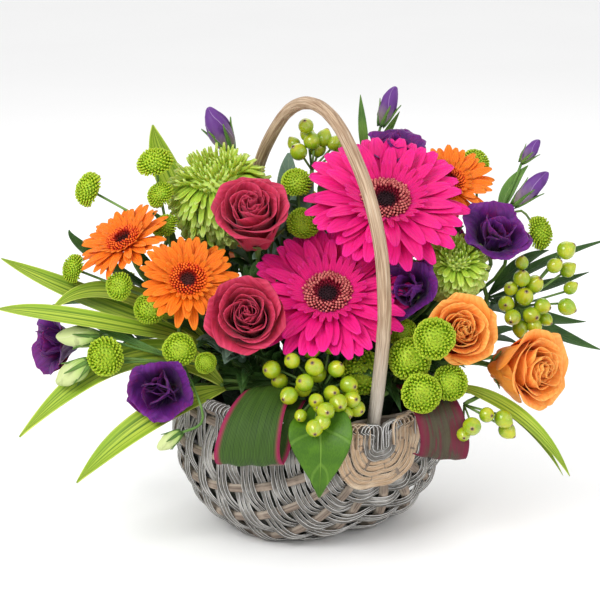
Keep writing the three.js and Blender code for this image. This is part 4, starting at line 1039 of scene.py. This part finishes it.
LISIANTHUS = {
    "right": ((119, -12, 198), (8, 46), 1.12, ((39.6, 6.4), (113.9, 24.2, 160.2), (117.3, 0.4, 187))),
    "middle": ((63, -36, 168), (-22, 28), 1.0, ((22.9, -11.9), (75.9, -4, 149.6), (68.4, -22.7, 161))),
    "left": ((-168, -16, 129), (-52, 8), 0.98, ((-47.2, -2), (-129.8, 13.9, 122.2), (-157, -7, 127.2))),
    "low": ((-97, -66, 112), (-10, 16), 1.04, ((-35.6, -26.9), (-91, -32.2, 103), (-94.4, -52, 108))),
    "top": ((55, 34, 246), (10, 66), 0.96, ((28.1, 20.9), (51, 56.5, 194.8), (53.9, 40.1, 233))),
    "back": ((92, 58, 172), (140, 34), 1.06, ((36.4, 20.7), (69.7, 31.5, 148.6), (83, 47.3, 163))),
}
for seed, (name, (at, towards, size, stem)) in enumerate(LISIANTHUS.items()):
    head = set_head(lisianthus_head, "lisianthus_petals_" + name, at, towards, size, 1.3 * seed)
    wobble(head, depth=0.007, grain=0.013, seed=0.3 * seed)
    keep(head, "purple_petal", PURPLE, "lisianthus_" + name)
    knob = set_head(pistil, "pistil", at, towards, size)
    keep_green([knob, planted(stem, 1.5)], f"lisianthus_{name}_stem")
drop(lisianthus_head, pistil)

# The rolled leaves: two broad strap leaves folded over the rim, and a green leaf that hangs between them.
# The left one is green with fine veins, crimson at both margins and plum inside. The right one is maroon.
LEFT_LOOP = (
    (-24, -50, 111), (-29, -70, 113), (-37, -88, 102), (-41, -97, 84), (-39, -95, 75), (-34, -90, 80),
    (-29, -85, 93), (-23, -76, 104), (-18, -62, 106),
)
LEAF_VEINS = 44
STEPS_PER_ROW = 4
ROLLED_THICK = 0.0007
RIGHT_LOOP = ((70, -44, 106), (74, -58, 107), (80, -72, 99), (84, -80, 84), (83, -80, 72), (79, -76, 70))


def rolled(name, path, half_at, lean, nearer, columns, rows):
    """A band of leaf along the loop. lean is the way across it, and half_at its half width."""
    band = flat_grid(name, columns, rows)
    loop = smooth_line([Vector(p) - Vector((0, nearer, 0)) for p in path], rows * STEPS_PER_ROW)
    across = facing(lean)
    for vert in band.data.vertices:
        row, column = divmod(vert.index, columns + 1)
        u = column / columns * 2 - 1
        k = row * STEPS_PER_ROW
        along = (loop[min(k + 1, len(loop) - 1)] - loop[max(k - 1, 0)]).normalized()
        out = along.cross(across).normalized()
        bulge = 1.3 * math.cos(u * math.pi / 2) + 0.5 * math.cos(u * 9.0) * math.sin(row * 0.5)
        half = half_at(row / rows)
        vert.co = (loop[k] + across * (u * half) + out * bulge) * TO_METRES
    thicken(band, ROLLED_THICK, 0)
    return join([band], name)


def banded_leaf(name, green, dark, margin, spread, margin_at, bands):
    """Parallel veins along the leaf, and a coloured margin at both edges."""
    material, shader, _, map_place = surface(name, 0.42)
    across = map_place.along("X")
    waver = map_place.noise(3.0, 2.0, (1.0, 2.0, 1.0))
    centre = map_place.maths("ABSOLUTE", across - 0.5) * 2.0
    veins = map_place.maths("SINE", (across + waver * 0.02) * (LEAF_VEINS * 2 * math.pi)) * 0.5 + 0.5
    streaks = map_place.noise(5.0, 4.0, (spread, 0.5, 1.0))
    colour = streaks.rise(0.35, 0.7).between(green, dark)
    colour = (veins.rise(0.62, 1.0) * 0.45).between(colour, tuple(min(1.0, 2.2 * c + 0.02) for c in green))
    colour = (streaks.rise(0.5, 0.62) * bands).between(colour, margin)
    edge = (centre + (waver - 0.5) * 0.12).rise(*margin_at)
    feed(shader, "Base Color", edge.between(colour, margin))
    feed(shader, "Roughness", 0.34 + streaks * 0.22)
    raise_grain(shader, veins + streaks * 0.6, 0.0003)
    return material


def left_half(t):
    """Half the left leaf's width: broad over the rim and narrower where it turns back up."""
    return 12 + 9 * math.sin(min(t * 2.1, 1.0) * math.pi / 2) - 7 * max(t - 0.5, 0) * 2


ROLLED_GREEN = banded_leaf(
    "rolled_green", (0.038, 0.088, 0.008), (0.014, 0.036, 0.005), (0.30, 0.015, 0.07), 9.0, (0.78, 0.96), 0.0
)
MAROON = banded_leaf(
    "rolled_maroon", (0.07, 0.06, 0.035), (0.035, 0.022, 0.018), (0.17, 0.014, 0.04), 2.6, (0.5, 0.95), 0.75
)
left_roll = rolled("rolled_blade_left", LEFT_LOOP, left_half, (98, -3), 9, 24, 44)
keep(left_roll, "broad_leaf", ROLLED_GREEN, "rolled_leaf_left")
right_roll = rolled("rolled_blade_right", RIGHT_LOOP, lambda t: 17 - 2 * t, (92, -6), 0, 20, 30)
keep(right_roll, "maroon_leaf", MAROON, "rolled_leaf_right")
LEFT_STEM = ((-19.7, -34.1), (-38.9, -67.5, 103), (-38.9, -67.5, 111))
RIGHT_STEM = ((21.7, -19.9), (70.8, -46.8, 103), (70.8, -46.8, 107))
keep_green([planted(LEFT_STEM, 1.8)], "rolled_leaf_left_stem")
keep_green([planted(RIGHT_STEM, 1.8)], "rolled_leaf_right_stem")


def lay(source, points, wide, face):
    """A copy of a flat leaf of length 1 and half width 1, laid along the bend from its root to its tip."""
    start, through, end = (Vector(p) for p in points)
    control = through * 2 - (start + end) * 0.5
    top = facing(face)
    leaf = copied(source, Matrix.Identity(4))
    for vert in leaf.data.vertices:
        t = min(max(vert.co.y, 0.0), 1.0)
        at = start * (1 - t) ** 2 + control * (2 * t * (1 - t)) + end * t * t
        along = ((control - start) * (1 - t) + (end - control) * t).normalized()
        across = top.cross(along).normalized() * -1.0
        lift = along.cross(across) * -1.0
        vert.co = (at + across * (vert.co.x * wide / 2) + lift * (vert.co.z * wide / 2)) * TO_METRES
    return leaf


def veined_leaf(name, light, dark, vein, side_veins, roughness=0.4):
    """A leaf with a pale midrib, and side veins that run forward from it."""
    material, shader, place, map_place = surface(name, roughness)
    centre = map_place.maths("ABSOLUTE", map_place.along("X") - 0.5) * 2.0
    waver = map_place.noise(4.0, 2.0)
    run = (map_place.along("Y") - centre * 0.16 + waver * 0.03) * (side_veins * 2 * math.pi)
    run = map_place.maths("SINE", run) * 0.5 + 0.5
    clouds = place.noise(70.0, 4.0)
    fine = map_place.noise(40.0, 3.0)
    colour = (clouds * 0.7 + fine * 0.35).rise(0.38, 0.72).between(dark, light)
    lines = 1 - (1 - run.rise(0.96, 1.0) * 0.4) * (1 - (1 - centre.rise(0.015, 0.05)) * 0.8)
    feed(shader, "Base Color", lines.between(colour, vein))
    feed(shader, "Roughness", roughness - 0.08 + clouds * 0.2)
    raise_grain(shader, fine * 0.5 + (1 - lines), 0.0005)
    return material


BROAD_GREEN = veined_leaf(
    "broad_green", (0.072, 0.178, 0.005), (0.038, 0.11, 0.004), (0.14, 0.27, 0.03), 3.0
)
broad = blank("broad", 8, 16, 1.0, (0.06, 0.34, 0.72, 0.96, 1.0, 0.86, 0.6, 0.28, 0.02), 0, 16)
thicken(broad, 0.045, 1)
hanging = lay(broad, ((3, -64, 106), (5, -98, 90), (4, -99, 50)), 42, (-4, 18))
keep(join([hanging], "broad_hanging_leaf"), "broad_leaf", BROAD_GREEN, "broad_leaf_front")
keep_green([planted(((2.9, -30.9), (6, -65, 103), (6, -65, 104)), 1.6)], "broad_leaf_stem")
drop(broad)

# The santini: tight buttons of tiny spoon florets on thin side stems. Fresh green, with painted shade between
# them. One floret is cupped from a small grid, and set all over a button in a sunflower pattern.
rng = random.Random(51)
spoon = thicken(blank("spoon", 2, 2, 2.7, (0.55, 1.0, 0.8), (4, 16), 60), 0.5, 0)
florets = []
BUTTON_FLORETS = 190
BUTTON_WIDE = 20.5
BUTTON_LEAN = 118
BUTTON_RADIUS = 8.4
BUTTON_RISE = 5.6
for k in range(BUTTON_FLORETS):
    share = math.sqrt((k + 0.5) / BUTTON_FLORETS)
    lean = math.radians(BUTTON_LEAN * share**1.15)
    big = (0.72 + 0.42 * share) * (0.9 + 0.2 * rng.random())
    florets.append(copied(spoon, (
        Matrix.Rotation(k * GOLDEN_TURN, 4, "Z")
        @ Matrix.Translation((0.0, BUTTON_RADIUS * math.sin(lean), BUTTON_RISE * math.cos(lean)))
        @ Matrix.Rotation(math.pi / 2 - lean * 0.96, 4, "X")
        @ Matrix.Diagonal((big, big, big, 1.0))
    )))
button = join([ball(16, 10, 8.5, (1.0, 1.0, 0.66)), *florets], "button")
drop(spoon)
# The darker foot colour is painted shade between the florets, towards the button's core.
BUTTON = petal_look(
    "button_floret", (0.13, 0.26, 0.005), (0.29, 0.48, 0.010), (0.52, 0.68, 0.04), (0.27, 0.46, 0.008),
    (0.0, 0.4), (0.5, 1.0), 1.0, 0.5, 0.25,
)
# Each spray: its stem, and its buttons with their place, facing, width and any bend of the twig.
SANTINI = {
    "santini_upper_left": (((-32.4, 4.1), (-96, 12, 162.1), (-96, 12, 197)), (
        ((-149, 20, 224), (-66, 24), 22), ((-104, 16, 243), (-30, 66), 23, (-100.3, 22.5, 212.3)),
        ((-100.6, 10.9, 222.4), (-50, 40), 18.1),
    )),
    "santini_left": (((-33.5, -7.2), (-84, -18, 129.2), (-84, -18, 151)), (
        ((-97, 2, 203), (-40, 60), 17.2), ((-157.5, -5.9, 176), (-60, 20), 18.1),
        ((-124.5, -37.3, 172), (-40, 20), 18.1), ((-105, -40, 158), (-20, 30), 20),
    )),
    "santini_low_left": (((-32.4, -12.5), (-62, -36, 106.3), (-62, -36, 119)), (
        ((-85, -62, 137), (-10, 20), 20.6), ((-133, -58, 131), (-30, 8), 24),
        ((-68, -68, 130), (0, 10), 13),
    )),
    "santini_top": (((-5.1, 15.3), (-6, 18, 163.7), (-6, 18, 191)), (
        ((-10, 14, 230), (0, 55), 20), ((-6, -2, 206), (5, 40), 20),
    )),
    "santini_right_cluster": (((16.1, -18.6), (44.6, -52.8, 103), (56, -34, 113)), (
        ((33, -50, 118), (-12, 14), 27), ((58, -46, 144), (0, 30), 18), ((62, -62, 131), (0, 22), 26),
        ((69, -76, 112), (0, 10), 24), ((88, -67, 116), (15, 12), 22), ((76.5, -77, 148.5), (-4, 18), 25),
    )),
    "santini_right": (((33.4, 25.3), (112, 14, 139), (112, 14, 171)), (
        ((151, 8, 197), (60, 15), 21, (137.8, 31.6, 206.3)), ((112, 54, 236), (40, 55), 19),
    )),
    "santini_back": (((-6.9, 25.5), (-14, 52, 112.3), (-14, 52, 123)), (
        ((-128, 42, 150), (-110, 10), 22, (-88.5, 27.6, 149.6)),
        ((-66, 84, 128), (200, 14), 23, (-58.3, 62.9, 122.4)), ((58, 82, 150), (165, 20), 23),
        ((-4, 72, 206), (185, 45), 17.2),
    )),
}
for name, (stem, heads) in SANTINI.items():
    fork = Vector(stem[-1]) - Vector((0, 0, 1))
    buttons = []
    stalks = [planted(stem, 1.5)]
    for at, towards, size, *bends in heads:
        buttons.append(set_head(button, "head", at, towards, size / BUTTON_WIDE, rng.random() * 6))
        stalks.append(stalk((fork, *bends, at), 0.9))
    buttons = join(buttons, name + "_buttons")
    wobble(buttons, depth=0.002, grain=0.01, seed=rng.random())
    keep(buttons, "button_floret", BUTTON, name)
    keep_green(stalks, name + "_stems")
drop(button)

# The hypericum: glossy yellow-green berries with a dark tip, each in a small green calyx on its own stalk.
# One berry is a ball drawn to a blunt point, and copied with its calyx.
BERRY_LONG = 1.15
berry = ball(20, 14, 0.5)
bpy.ops.object.mode_set(mode="EDIT")
grid = bmesh.from_edit_mesh(berry.data)
for low, narrower, rise in ((0.30, 0.96, 0.035), (0.44, 0.86, 0.05), (0.49, 0.7, 0.06)):
    for vert in grid.verts:
        vert.select = vert.co.z > low
    grid.select_flush_mode()
    bpy.ops.transform.resize(value=(narrower, narrower, 1.0), center_override=(0.0, 0.0, 0.0))
    bpy.ops.transform.translate(value=(0.0, 0.0, rise))
bpy.ops.object.mode_set(mode="OBJECT")
berry_place = berry.data.attributes.new("share", "FLOAT", "POINT")
for index, vert in enumerate(berry.data.vertices):
    berry_place.data[index].value = (vert.co.z + 0.5) / BERRY_LONG
sepal = thicken(blank("calyx", 2, 4, 0.42, (0.16, 0.17, 0.13, 0.02), (14, 12, 8), 20), 0.03, 0)
calyx = join(ring([sepal], 5, 0.05, -0.53, 22.0, random.Random(3), 0.0), "calyx")
drop(sepal)
BERRY, shader, place, _ = surface(
    "berry_skin", 0.22, Specular_IOR_Level=0.4, Coat_Weight=0.5, Coat_Roughness=0.08,
    Subsurface_Weight=0.2, Subsurface_Scale=0.003,
)
share = place.written("share")
clouds = place.noise(120.0, 3.0)
specks = place.noise(900.0, 2.0)
skin = (clouds * 0.8 + share * 0.25).rise(0.35, 0.85).between((0.22, 0.36, 0.010), (0.50, 0.50, 0.015))
skin = (specks.rise(0.62, 0.75) * 0.4).between(skin, (0.6, 0.64, 0.10))
skin = share.rise(0.93, 0.965).between(skin, (0.3, 0.22, 0.04))
feed(shader, "Base Color", share.rise(0.972, 0.99).between(skin, (0.03, 0.015, 0.008)))
feed(shader, "Roughness", 0.16 + clouds * 0.14)
raise_grain(shader, specks * 0.3 + clouds, 0.0002)
# Each spray: its stem, and its berries with their place, width and any bend of the twig.
BERRIES = {
    "hypericum_front": (((7.2, -26.5), (6, -56, 107.8), (6, -56, 108)), (
        (-26, -70, 126, 12), (-13, -74, 133, 10.3), (1, -78, 130, 12), (-5, -82, 121, 11.5),
        (15, -72, 127, 11), (-15, -84, 113, 11.5), (12, -82, 114, 10.5), (24, -72, 111, 10),
        (4, -90, 108, 8.5), (6, -99.5, 101, 10.5, (6, -84.3, 110.5)), (-7.5, -92, 102.5, 8.2),
        (-1, -62, 137, 12), (12, -58, 138, 11), (-6, -74, 114.5, 11), (2, -91, 112, 9.5),
        (23, -74, 117, 12), (25, -79, 109, 11), (16, -86, 109, 12), (8, -97, 107, 11.5), (28, -76, 102, 11),
        (21, -83, 101, 9), (-21, -66, 117, 11), (3, -66, 122, 12), (1, -103, 98, 11),
    )),
    "hypericum_top": (((0, 25.7), (0, 46, 191.9), (0, 46, 232)), (
        (-4, 36, 264, 10.5), (-9, 38, 246, 12), (0, 40, 253, 11.5), (8, 44, 254, 11), (15, 42, 251, 10),
        (4, 46, 247, 12), (-3, 44, 257, 10), (20, 46, 246, 11), (-12, 46, 250, 9),
    )),
    "hypericum_right": (((43.9, 12.9), (136, -4, 118.2), (136, -4, 150)), (
        (168, 0, 187, 12.5), (170, 3, 173, 10.5), (138, -10, 181, 9), (138, -12, 171, 11.5),
        (140, -14, 159, 12), (152, -12, 152, 11), (169, -6, 150, 11.5), (132, -18, 146, 11),
        (147, -14, 139, 10), (147, -8, 166, 12), (131, -12, 164, 9.5), (145, -13, 146, 12),
        (160, -6, 178, 10), (128, -14, 154, 11), (172, 1, 161, 9), (138, -12, 137, 11), (155, -8, 142, 9),
    )),
    "hypericum_low_right": (((31.4, -17.9), (104.4, -44.7, 103), (98, -56, 98)), (
        (101, -82, 92, 12), (122, -70, 93, 11.5), (125, -66, 84, 11), (111, -74, 97, 10), (96, -80, 86, 9),
    )),
    "hypericum_back": (((9.2, 32.1), (28, 60, 124.3), (28, 60, 140)), (
        (18, 88, 172, 11), (30, 92, 165, 11), (8, 92, 164, 10), (24, 96, 153, 11),
    )),
}
for name, (stem, fruit) in BERRIES.items():
    skins = []
    greens = [planted(stem, 1.5)]
    for x, y, z, size, *bends in fruit:
        at = Vector((x, y, z))
        twig = (stem[-1], *bends)
        out = (at - Vector(twig[-1])).normalized()
        astray = Vector((rng.random() - 0.5, rng.random() - 0.5, rng.random() - 0.5)) * 0.7
        out = (out + Vector((0.0, -0.35 if y < 40 else 0.35, 0.0)) + astray).normalized()
        place = Matrix.Translation(at * TO_METRES) @ out.to_track_quat("Z", "Y").to_matrix().to_4x4()
        wide = size * TO_METRES
        long = size * (0.96 + 0.12 * rng.random()) * TO_METRES
        skins.append(copied(berry, place @ Matrix.Diagonal((wide, wide, long, 1.0))))
        greens.append(copied(calyx, place @ Matrix.Diagonal((wide, wide, wide, 1.0))))
        greens.append(stalk((*twig, at - out * size * 0.5), 0.8))
    keep(join(skins, name + "_berries"), "berry", BERRY, name)
    keep_green(greens, name + "_stems")
drop(berry, calyx)

# The bud sprays: furled violet buds that are paler towards the foot, and pale green ones on the left, each
# in a calyx with narrow sepals. A bud is a ball slimmed to a point and twisted, with five folds round it.
BUD_TWIST = 1.5
BUD_FOLDS = 5
BUD_FULL = 0.00118
BUD_LONG = 1.06
rng = random.Random(61)
bud = ball(30, 16, 0.5, at=(0.0, 0.0, 0.5))
bpy.ops.object.mode_set(mode="EDIT")
grid = bmesh.from_edit_mesh(bud.data)
for level in sorted({round(vert.co.z, 4) for vert in grid.verts}):
    for vert in grid.verts:
        vert.select = abs(vert.co.z - level) < 0.001
    grid.select_flush_mode()
    slim = 0.82 + 0.34 * level - 0.5 * level**2
    bpy.ops.transform.resize(value=(slim, slim, 1.0), center_override=(0.0, 0.0, 0.0))
    bpy.ops.transform.rotate(value=BUD_TWIST * level, orient_axis="Z", center_override=(0.0, 0.0, 0.0))
bpy.ops.object.mode_set(mode="OBJECT")
wrapped = bud.data.attributes.new("share", "FLOAT", "POINT")
seams = bud.data.attributes.new("side", "FLOAT", "POINT")
for index, vert in enumerate(bud.data.vertices):
    height = vert.co.z
    fold = (math.atan2(vert.co.y, vert.co.x) + BUD_TWIST * height) / (2 * math.pi) * BUD_FOLDS % 1.0
    lapped = 1.06 - 0.2 * fold
    vert.co.x *= lapped
    vert.co.y *= lapped
    wrapped.data[index].value = height
    seams.data[index].value = fold
bud = join([bud], "bud")
sepal = thicken(blank("bud_sepal", 2, 5, 0.8, (0.12, 0.13, 0.08, 0.02), (16, 12, 4, -10), 40), 0.03, 0)
bud_calyx = join(ring([sepal], 5, 0.16, -0.05, 30.0, rng, 0.3, 1.0, 1.2), "bud_calyx")
drop(sepal)


def bud_look(name, foot, body, seam):
    """Colours from foot to tip, with a pale seam where each petal laps over the next."""
    material, shader, place, _ = surface(name, 0.45)
    share = place.written("share")
    fold = place.written("side")
    streaks = place.noise(160.0, 4.0, (1.0, 1.0, 0.35), 0.4)
    colour = (share + streaks * 0.4 - 0.2).rise(0.1, 0.62).between(foot, body)
    colour = ((1 - fold.rise(0.04, 0.16)) * 0.8).between(colour, seam)
    colour = streaks.rise(0.55, 0.75).between(colour, tuple(0.55 * c for c in body))
    feed(shader, "Base Color", colour)
    feed(shader, "Roughness", 0.4 + streaks * 0.2)
    raise_grain(shader, streaks, 0.0004)
    return material


VIOLET_BUD = bud_look("violet_bud", (0.20, 0.17, 0.15), (0.11, 0.03, 0.2), (0.5, 0.38, 0.58))
PALE_BUD = bud_look("pale_bud", (0.30, 0.45, 0.10), (0.50, 0.57, 0.25), (0.66, 0.66, 0.44))
blade_leaf = thicken(blank("narrow", 4, 12, 1.0, (0.1, 0.5, 0.9, 1.0, 0.85, 0.5, 0.04), 0, 24), 0.08)
SPRAY_GREEN = veined_leaf("spray_green", (0.16, 0.3, 0.05), (0.07, 0.17, 0.035), (0.3, 0.45, 0.13), 8.0)
# Each spray: its stem, its buds with their foot, tip, width and bends of the twig, and its leaves with their
# width, facing and way. A leaf of two points starts where the stem ends.
BUDS = {
    "bud_spray_upper_left": (
        ((-19.2, 25.3), (-50, 66, 181.2), (-50, 66, 220.5)),
        (((-56, 66, 241), (-70, 66, 270), 17, (-56.9, 66, 242.8)),),
        (),
    ),
    "bud_spray_upper_right": (
        ((20.1, 30.7), (48.9, 50.9, 199.1), (38, 58, 230.5)),
        (((47, 56, 261), (56, 56, 286), 11.5, (47.7, 56, 262.9)),),
        ((7, (0, 10), (35, 58, 256), (33, 58, 282)), (6, (0, 30), (50, 60, 252), (60, 60, 270))),
    ),
    "bud_spray_right": (
        ((24, 5), (123.4, 19, 162.7), (124, 6, 206.5)),
        (
            ((133, 4, 217), (154, 2, 238), 11.5, (134.4, 3.9, 218.4)),
            ((138, 12, 244), (149, 12, 258), 9, (139.2, 12, 245.6)),
        ),
        ((10, (0, 20), (124, 6, 208), (130, 10, 226), (143, 12, 242)),),
    ),
    "bud_spray_left": (
        ((-27.3, -31.1), (-84, -50, 106.9), (-84, -50, 126.5)),
        (
            ((-136, -46, 140), (-164, -46, 141), 14, (-138, -46, 140.1)),
            ((-143, -56, 127), (-164, -56, 113), 14, (-144.7, -56, 125.9)),
            ((-83, -88, 90), (-97, -92, 81), 10, (-69.3, -84.1, 98.8), (-84.6, -88.5, 88.9)),
        ),
        ((6, (0, 40), (-130, -40, 142), (-160, -36, 158)),),
    ),
}
for name, (stem, buds, leaves) in BUDS.items():
    fork = Vector(stem[-1]) - Vector((0, 0, 0.5))
    furled = []
    greens = [planted(stem, 1.3)]
    for foot, tip, thick, *bends in buds:
        axis = Vector(tip) - Vector(foot)
        long = axis.length * TO_METRES
        turn = axis.to_track_quat("Z", "Y").to_matrix().to_4x4()
        size = Matrix.Diagonal((thick * BUD_FULL, thick * BUD_FULL, long * BUD_LONG, 1.0))
        shape = Matrix.Translation(Vector(foot) * TO_METRES) @ turn @ size
        furled.append(copied(bud, shape))
        greens.append(copied(bud_calyx, shape))
        greens.append(stalk((fork, *bends), 0.9))
    greens += [lay(blade_leaf, (fork, *points)[-3:], wide, face) for wide, face, *points in leaves]
    furled = join(furled, name + "_buds")
    wobble(furled, depth=0.0016, grain=0.008, seed=rng.random())
    ink, slot = (PALE_BUD, "pale_bud") if name == "bud_spray_left" else (VIOLET_BUD, "purple_petal")
    keep(furled, slot, ink, name)
    keep_green(greens, name + "_stems", SPRAY_GREEN)
drop(bud, bud_calyx)

# The long leaves: arching yellow-green blades with darker stripes along them, dark pointed leaves and round
# grey ones, on stems in the foam. One flat leaf of each kind is curled, and laid along each blade's bend.
STRIPED, shader, place, map_place = surface("striped_leaf", 0.42)
stripes = map_place.noise(3.2, 3.0, (3.4, 0.18, 1.0), 0.2)
fine = map_place.noise(14.0, 3.0, (3.0, 0.25, 1.0))
centre = map_place.maths("ABSOLUTE", map_place.along("X") - 0.5) * 2.0
colour = fine.rise(0.3, 0.7).between((0.18, 0.31, 0.012), (0.31, 0.45, 0.03))
streaked = stripes.rise(0.45, 0.6).between((0.43, 0.54, 0.055), (0.08, 0.17, 0.011))
colour = (1 - centre.rise(0.4, 0.8)).between(colour, streaked)
colour = centre.rise(0.84, 1.0).between(colour, (0.55, 0.62, 0.11))
feed(shader, "Base Color", place.noise(30.0, 2.0).rise(0.3, 1.0).between(colour, (0.20, 0.34, 0.018)))
feed(shader, "Roughness", 0.34 + fine * 0.25)
raise_grain(shader, fine + stripes * 0.5, 0.0004)
STRAP_HALVES = (0.16, 0.62, 0.88, 0.98, 1.0, 0.96, 0.86, 0.68, 0.4, 0.03)
strap_leaf = thicken(blank("strap_leaf", 6, 22, 1.0, STRAP_HALVES, 0, 26), 0.06)
DARK_GREEN = veined_leaf(
    "dark_green", (0.065, 0.155, 0.028), (0.025, 0.075, 0.016), (0.12, 0.22, 0.05), 7.0, 0.36
)
GREY_GREEN = veined_leaf(
    "grey_green", (0.22, 0.32, 0.24), (0.12, 0.2, 0.14), (0.34, 0.42, 0.3), 6.0, 0.6
)
POINTED_HALVES = (0.06, 0.5, 0.86, 1.0, 0.92, 0.7, 0.36, 0.02)
pointed_leaf = thicken(blank("pointed", 6, 16, 1.0, POINTED_HALVES, 0, 22), 0.07)
round_leaf = thicken(blank("round", 6, 14, 1.0, (0.08, 0.6, 0.96, 1.0, 0.9, 0.6, 0.1), 0, 14), 0.06)
# Each group: its stem, which way its leaves look, and each leaf's width and its way from root to tip.
LEAVES = {
    "striped_leaf_upper": (((-25.1, 23), (-72, 66, 147), (-72, 66, 177)), (-10, 10), (
        (22, (-72, 66, 176), (-96.6, 64.5, 222.2), (-108.3, 58.2, 261.1)),
    )),
    "striped_leaves_left": (((-28.4, -1.5), (-67.2, -8.1, 120.8), (-66, -14, 126)), (0, 60), (
        (20, (-65, -13, 127), (-148, -4, 154.7), (-205, -8, 183.6)),
        (17, (-67, -14, 126), (-151.3, -50.5, 153.9), (-204.6, -39.6, 157.7)),
        (19, (-66, -15, 125), (-127.5, -7.5, 159), (-170.7, -22.8, 152.5)),
    )),
    "striped_leaves_low": (((-12.6, -29.9), (-61.6, -39.2, 108.8), (-58, -44, 107)), (0, 60), (
        (27, (-59, -44, 108), (-118, -42, 124), (-189, -66, 79)),
        (23, (-56.5, -44.5, 105.4), (-106.7, -68.3, 89.2), (-151.3, -79.8, 52.9)),
    )),
    "grass_leaf_right": (((40.7, -12.9), (97.8, -34.4, 103), (92, -46, 109)), (30, 40), (
        (12, (92, -46, 108), (134.6, -58.4, 90.2), (167.3, -62.2, 51.1)),
        (6, (92, -46, 108), (132.2, -57, 88.8), (163.2, -59.8, 50.6)),
    )),
    "dark_leaves_right": (((19.5, 15.6), (116, 30.9, 116.9), (118, 18, 150)), (0, 60), (
        (12, (152, 12, 158), (186, 10, 170)), (14, (150, 6, 140), (184, 4, 137)),
        (14, (160, 14, 128), (196, 8, 116)), (12, (140, 20, 172), (160, 22, 182)),
        (9, (156, 24, 172), (204, 24, 190)),
    )),
    "dark_leaves_left": (((-30.5, 10), (-92, 30, 119.7), (-92, 30, 143)), (0, 60), (
        (12, (-144.8, 17.7, 177.2), (-162.4, 15.8, 197.6)),
        (14, (-131.8, 25.7, 147.5), (-177.9, 23.8, 142.8)), (14, (-126, 36, 128), (-158, 34, 112)),
    )),
    "dark_leaves_back": (((6.6, 26.1), (4, 44, 118), (4, 44, 128)), (0, 60), (
        (18, (-63.6, 105.8, 124.6), (-106.8, 106.9, 102.3)), (20, (-20, 88, 110), (-26, 110, 88)),
        (20, (30, 86, 112), (36, 112, 92)), (18, (77.3, 71.8, 117.6), (112.7, 89.9, 102.8)),
        (16, (90, 52, 134), (146, 60, 130)), (16, (-79.1, 68.3, 135.5), (-139.6, 76.5, 129.1)),
    )),
    "grey_leaves": (((-10.7, 18.1), (-20, 34, 152.5), (-20, 34, 176)), (0, 60), (
        (15, (-17, 33.8, 219.9), (-15.5, 35.9, 245.9)), (14, (-34, 50, 200), (-48, 56, 224)),
    )),
}
for name, (stem, face, blades) in LEAVES.items():
    source, ink, slot = strap_leaf, STRIPED, "striped_leaf"
    if name.startswith("dark"):
        source, ink, slot = pointed_leaf, DARK_GREEN, "dark_leaf"
    if name.startswith("grey"):
        source, ink, slot = round_leaf, GREY_GREEN, "grey_leaf"
    laid = [lay(source, (stem[-1], *points)[-3:], wide, face) for wide, *points in blades]
    keep(join(laid, name + "_blades"), slot, ink, name)
    keep_green([planted(stem, 1.6)], name + "_stem")
drop(strap_leaf, pointed_leaf, round_leaf, blade_leaf)

# The filling greens: leafy stems of ruscus and grey eucalyptus that close the gaps between the flowers, all
# standing in the foam. Thin pointed leaves in pairs up each stem, one flat leaf copied along them.
FILL_STEMS = 84
FILL_RISES = (8, 34, 60, 22, 48, 76)
FILL_JOINTS = 12
BARE_JOINTS = 5
FILL_FOOT = Vector((44, 30, 92))
FILL_CENTRE = Vector((0, 0, 96))
FILL_HALVES = Vector((158, 84, 132))
FRONT_SHARE = 0.48
BACK_SHARE = 0.84
rng = random.Random(77)
fill_leaf = thicken(blank("fill_leaf", 2, 6, 1.0, (0.08, 0.7, 1.0, 0.9, 0.5, 0.04), 0, 26), 0.07, 0)
pointed_fill = []
grey_fill = []
fill_stems = []
for spray in range(FILL_STEMS):
    round_at = math.radians(360 * spray / FILL_STEMS + 5 * (rng.random() - 0.5))
    rise = math.radians(FILL_RISES[spray % len(FILL_RISES)] + 8 * (rng.random() - 0.5))
    out = Vector((math.cos(round_at) * math.cos(rise), math.sin(round_at) * math.cos(rise), math.sin(rise)))
    near = FRONT_SHARE if out.y < 0.1 else BACK_SHARE
    foot = FILL_FOOT * Vector((math.cos(round_at), math.sin(round_at), 1.0))
    tip = (FILL_CENTRE + FILL_HALVES * out) * near + Vector((0, 0, FOAM_TOP * (1 - near)))
    knee = foot.lerp(tip, 0.5) + Vector((0, 0, 9))
    line = smooth_line([foot, knee, tip], FILL_JOINTS)
    fill_stems.append(stalk([foot, knee, tip], 0.9))
    leaves = grey_fill if spray % 4 == 3 else pointed_fill
    for k in range(BARE_JOINTS, FILL_JOINTS + 1):
        along = (line[k] - line[k - 1]).normalized()
        side = along.cross(Vector((0, 0, 1))).normalized() * (1 if k % 2 else -1)
        reach = along * (0.5 + 0.5 * rng.random()) + side * (1.0 if k < FILL_JOINTS else 0.1)
        reach += Vector((0, 0, 0.35 * rng.random()))
        long = (26 + 12 * rng.random()) * (0.8 if leaves is grey_fill else 1.0)
        end = line[k] + reach.normalized() * long
        middle = line[k].lerp(end, 0.5) + Vector((0, 0, 3 + 3 * rng.random()))
        face = (math.degrees(rng.random() - 0.5) * 0.6, 52 + 16 * rng.random())
        wide = (13 if leaves is grey_fill else 10) * (0.8 + 0.4 * rng.random())
        leaves.append(lay(fill_leaf, (line[k], middle, end), wide, face))
keep(join(pointed_fill, "ruscus_fill"), "dark_leaf", DARK_GREEN)
keep(join(grey_fill, "eucalyptus_fill"), "grey_leaf", GREY_GREEN)
keep_green(fill_stems, "fill_stems")
drop(fill_leaf)
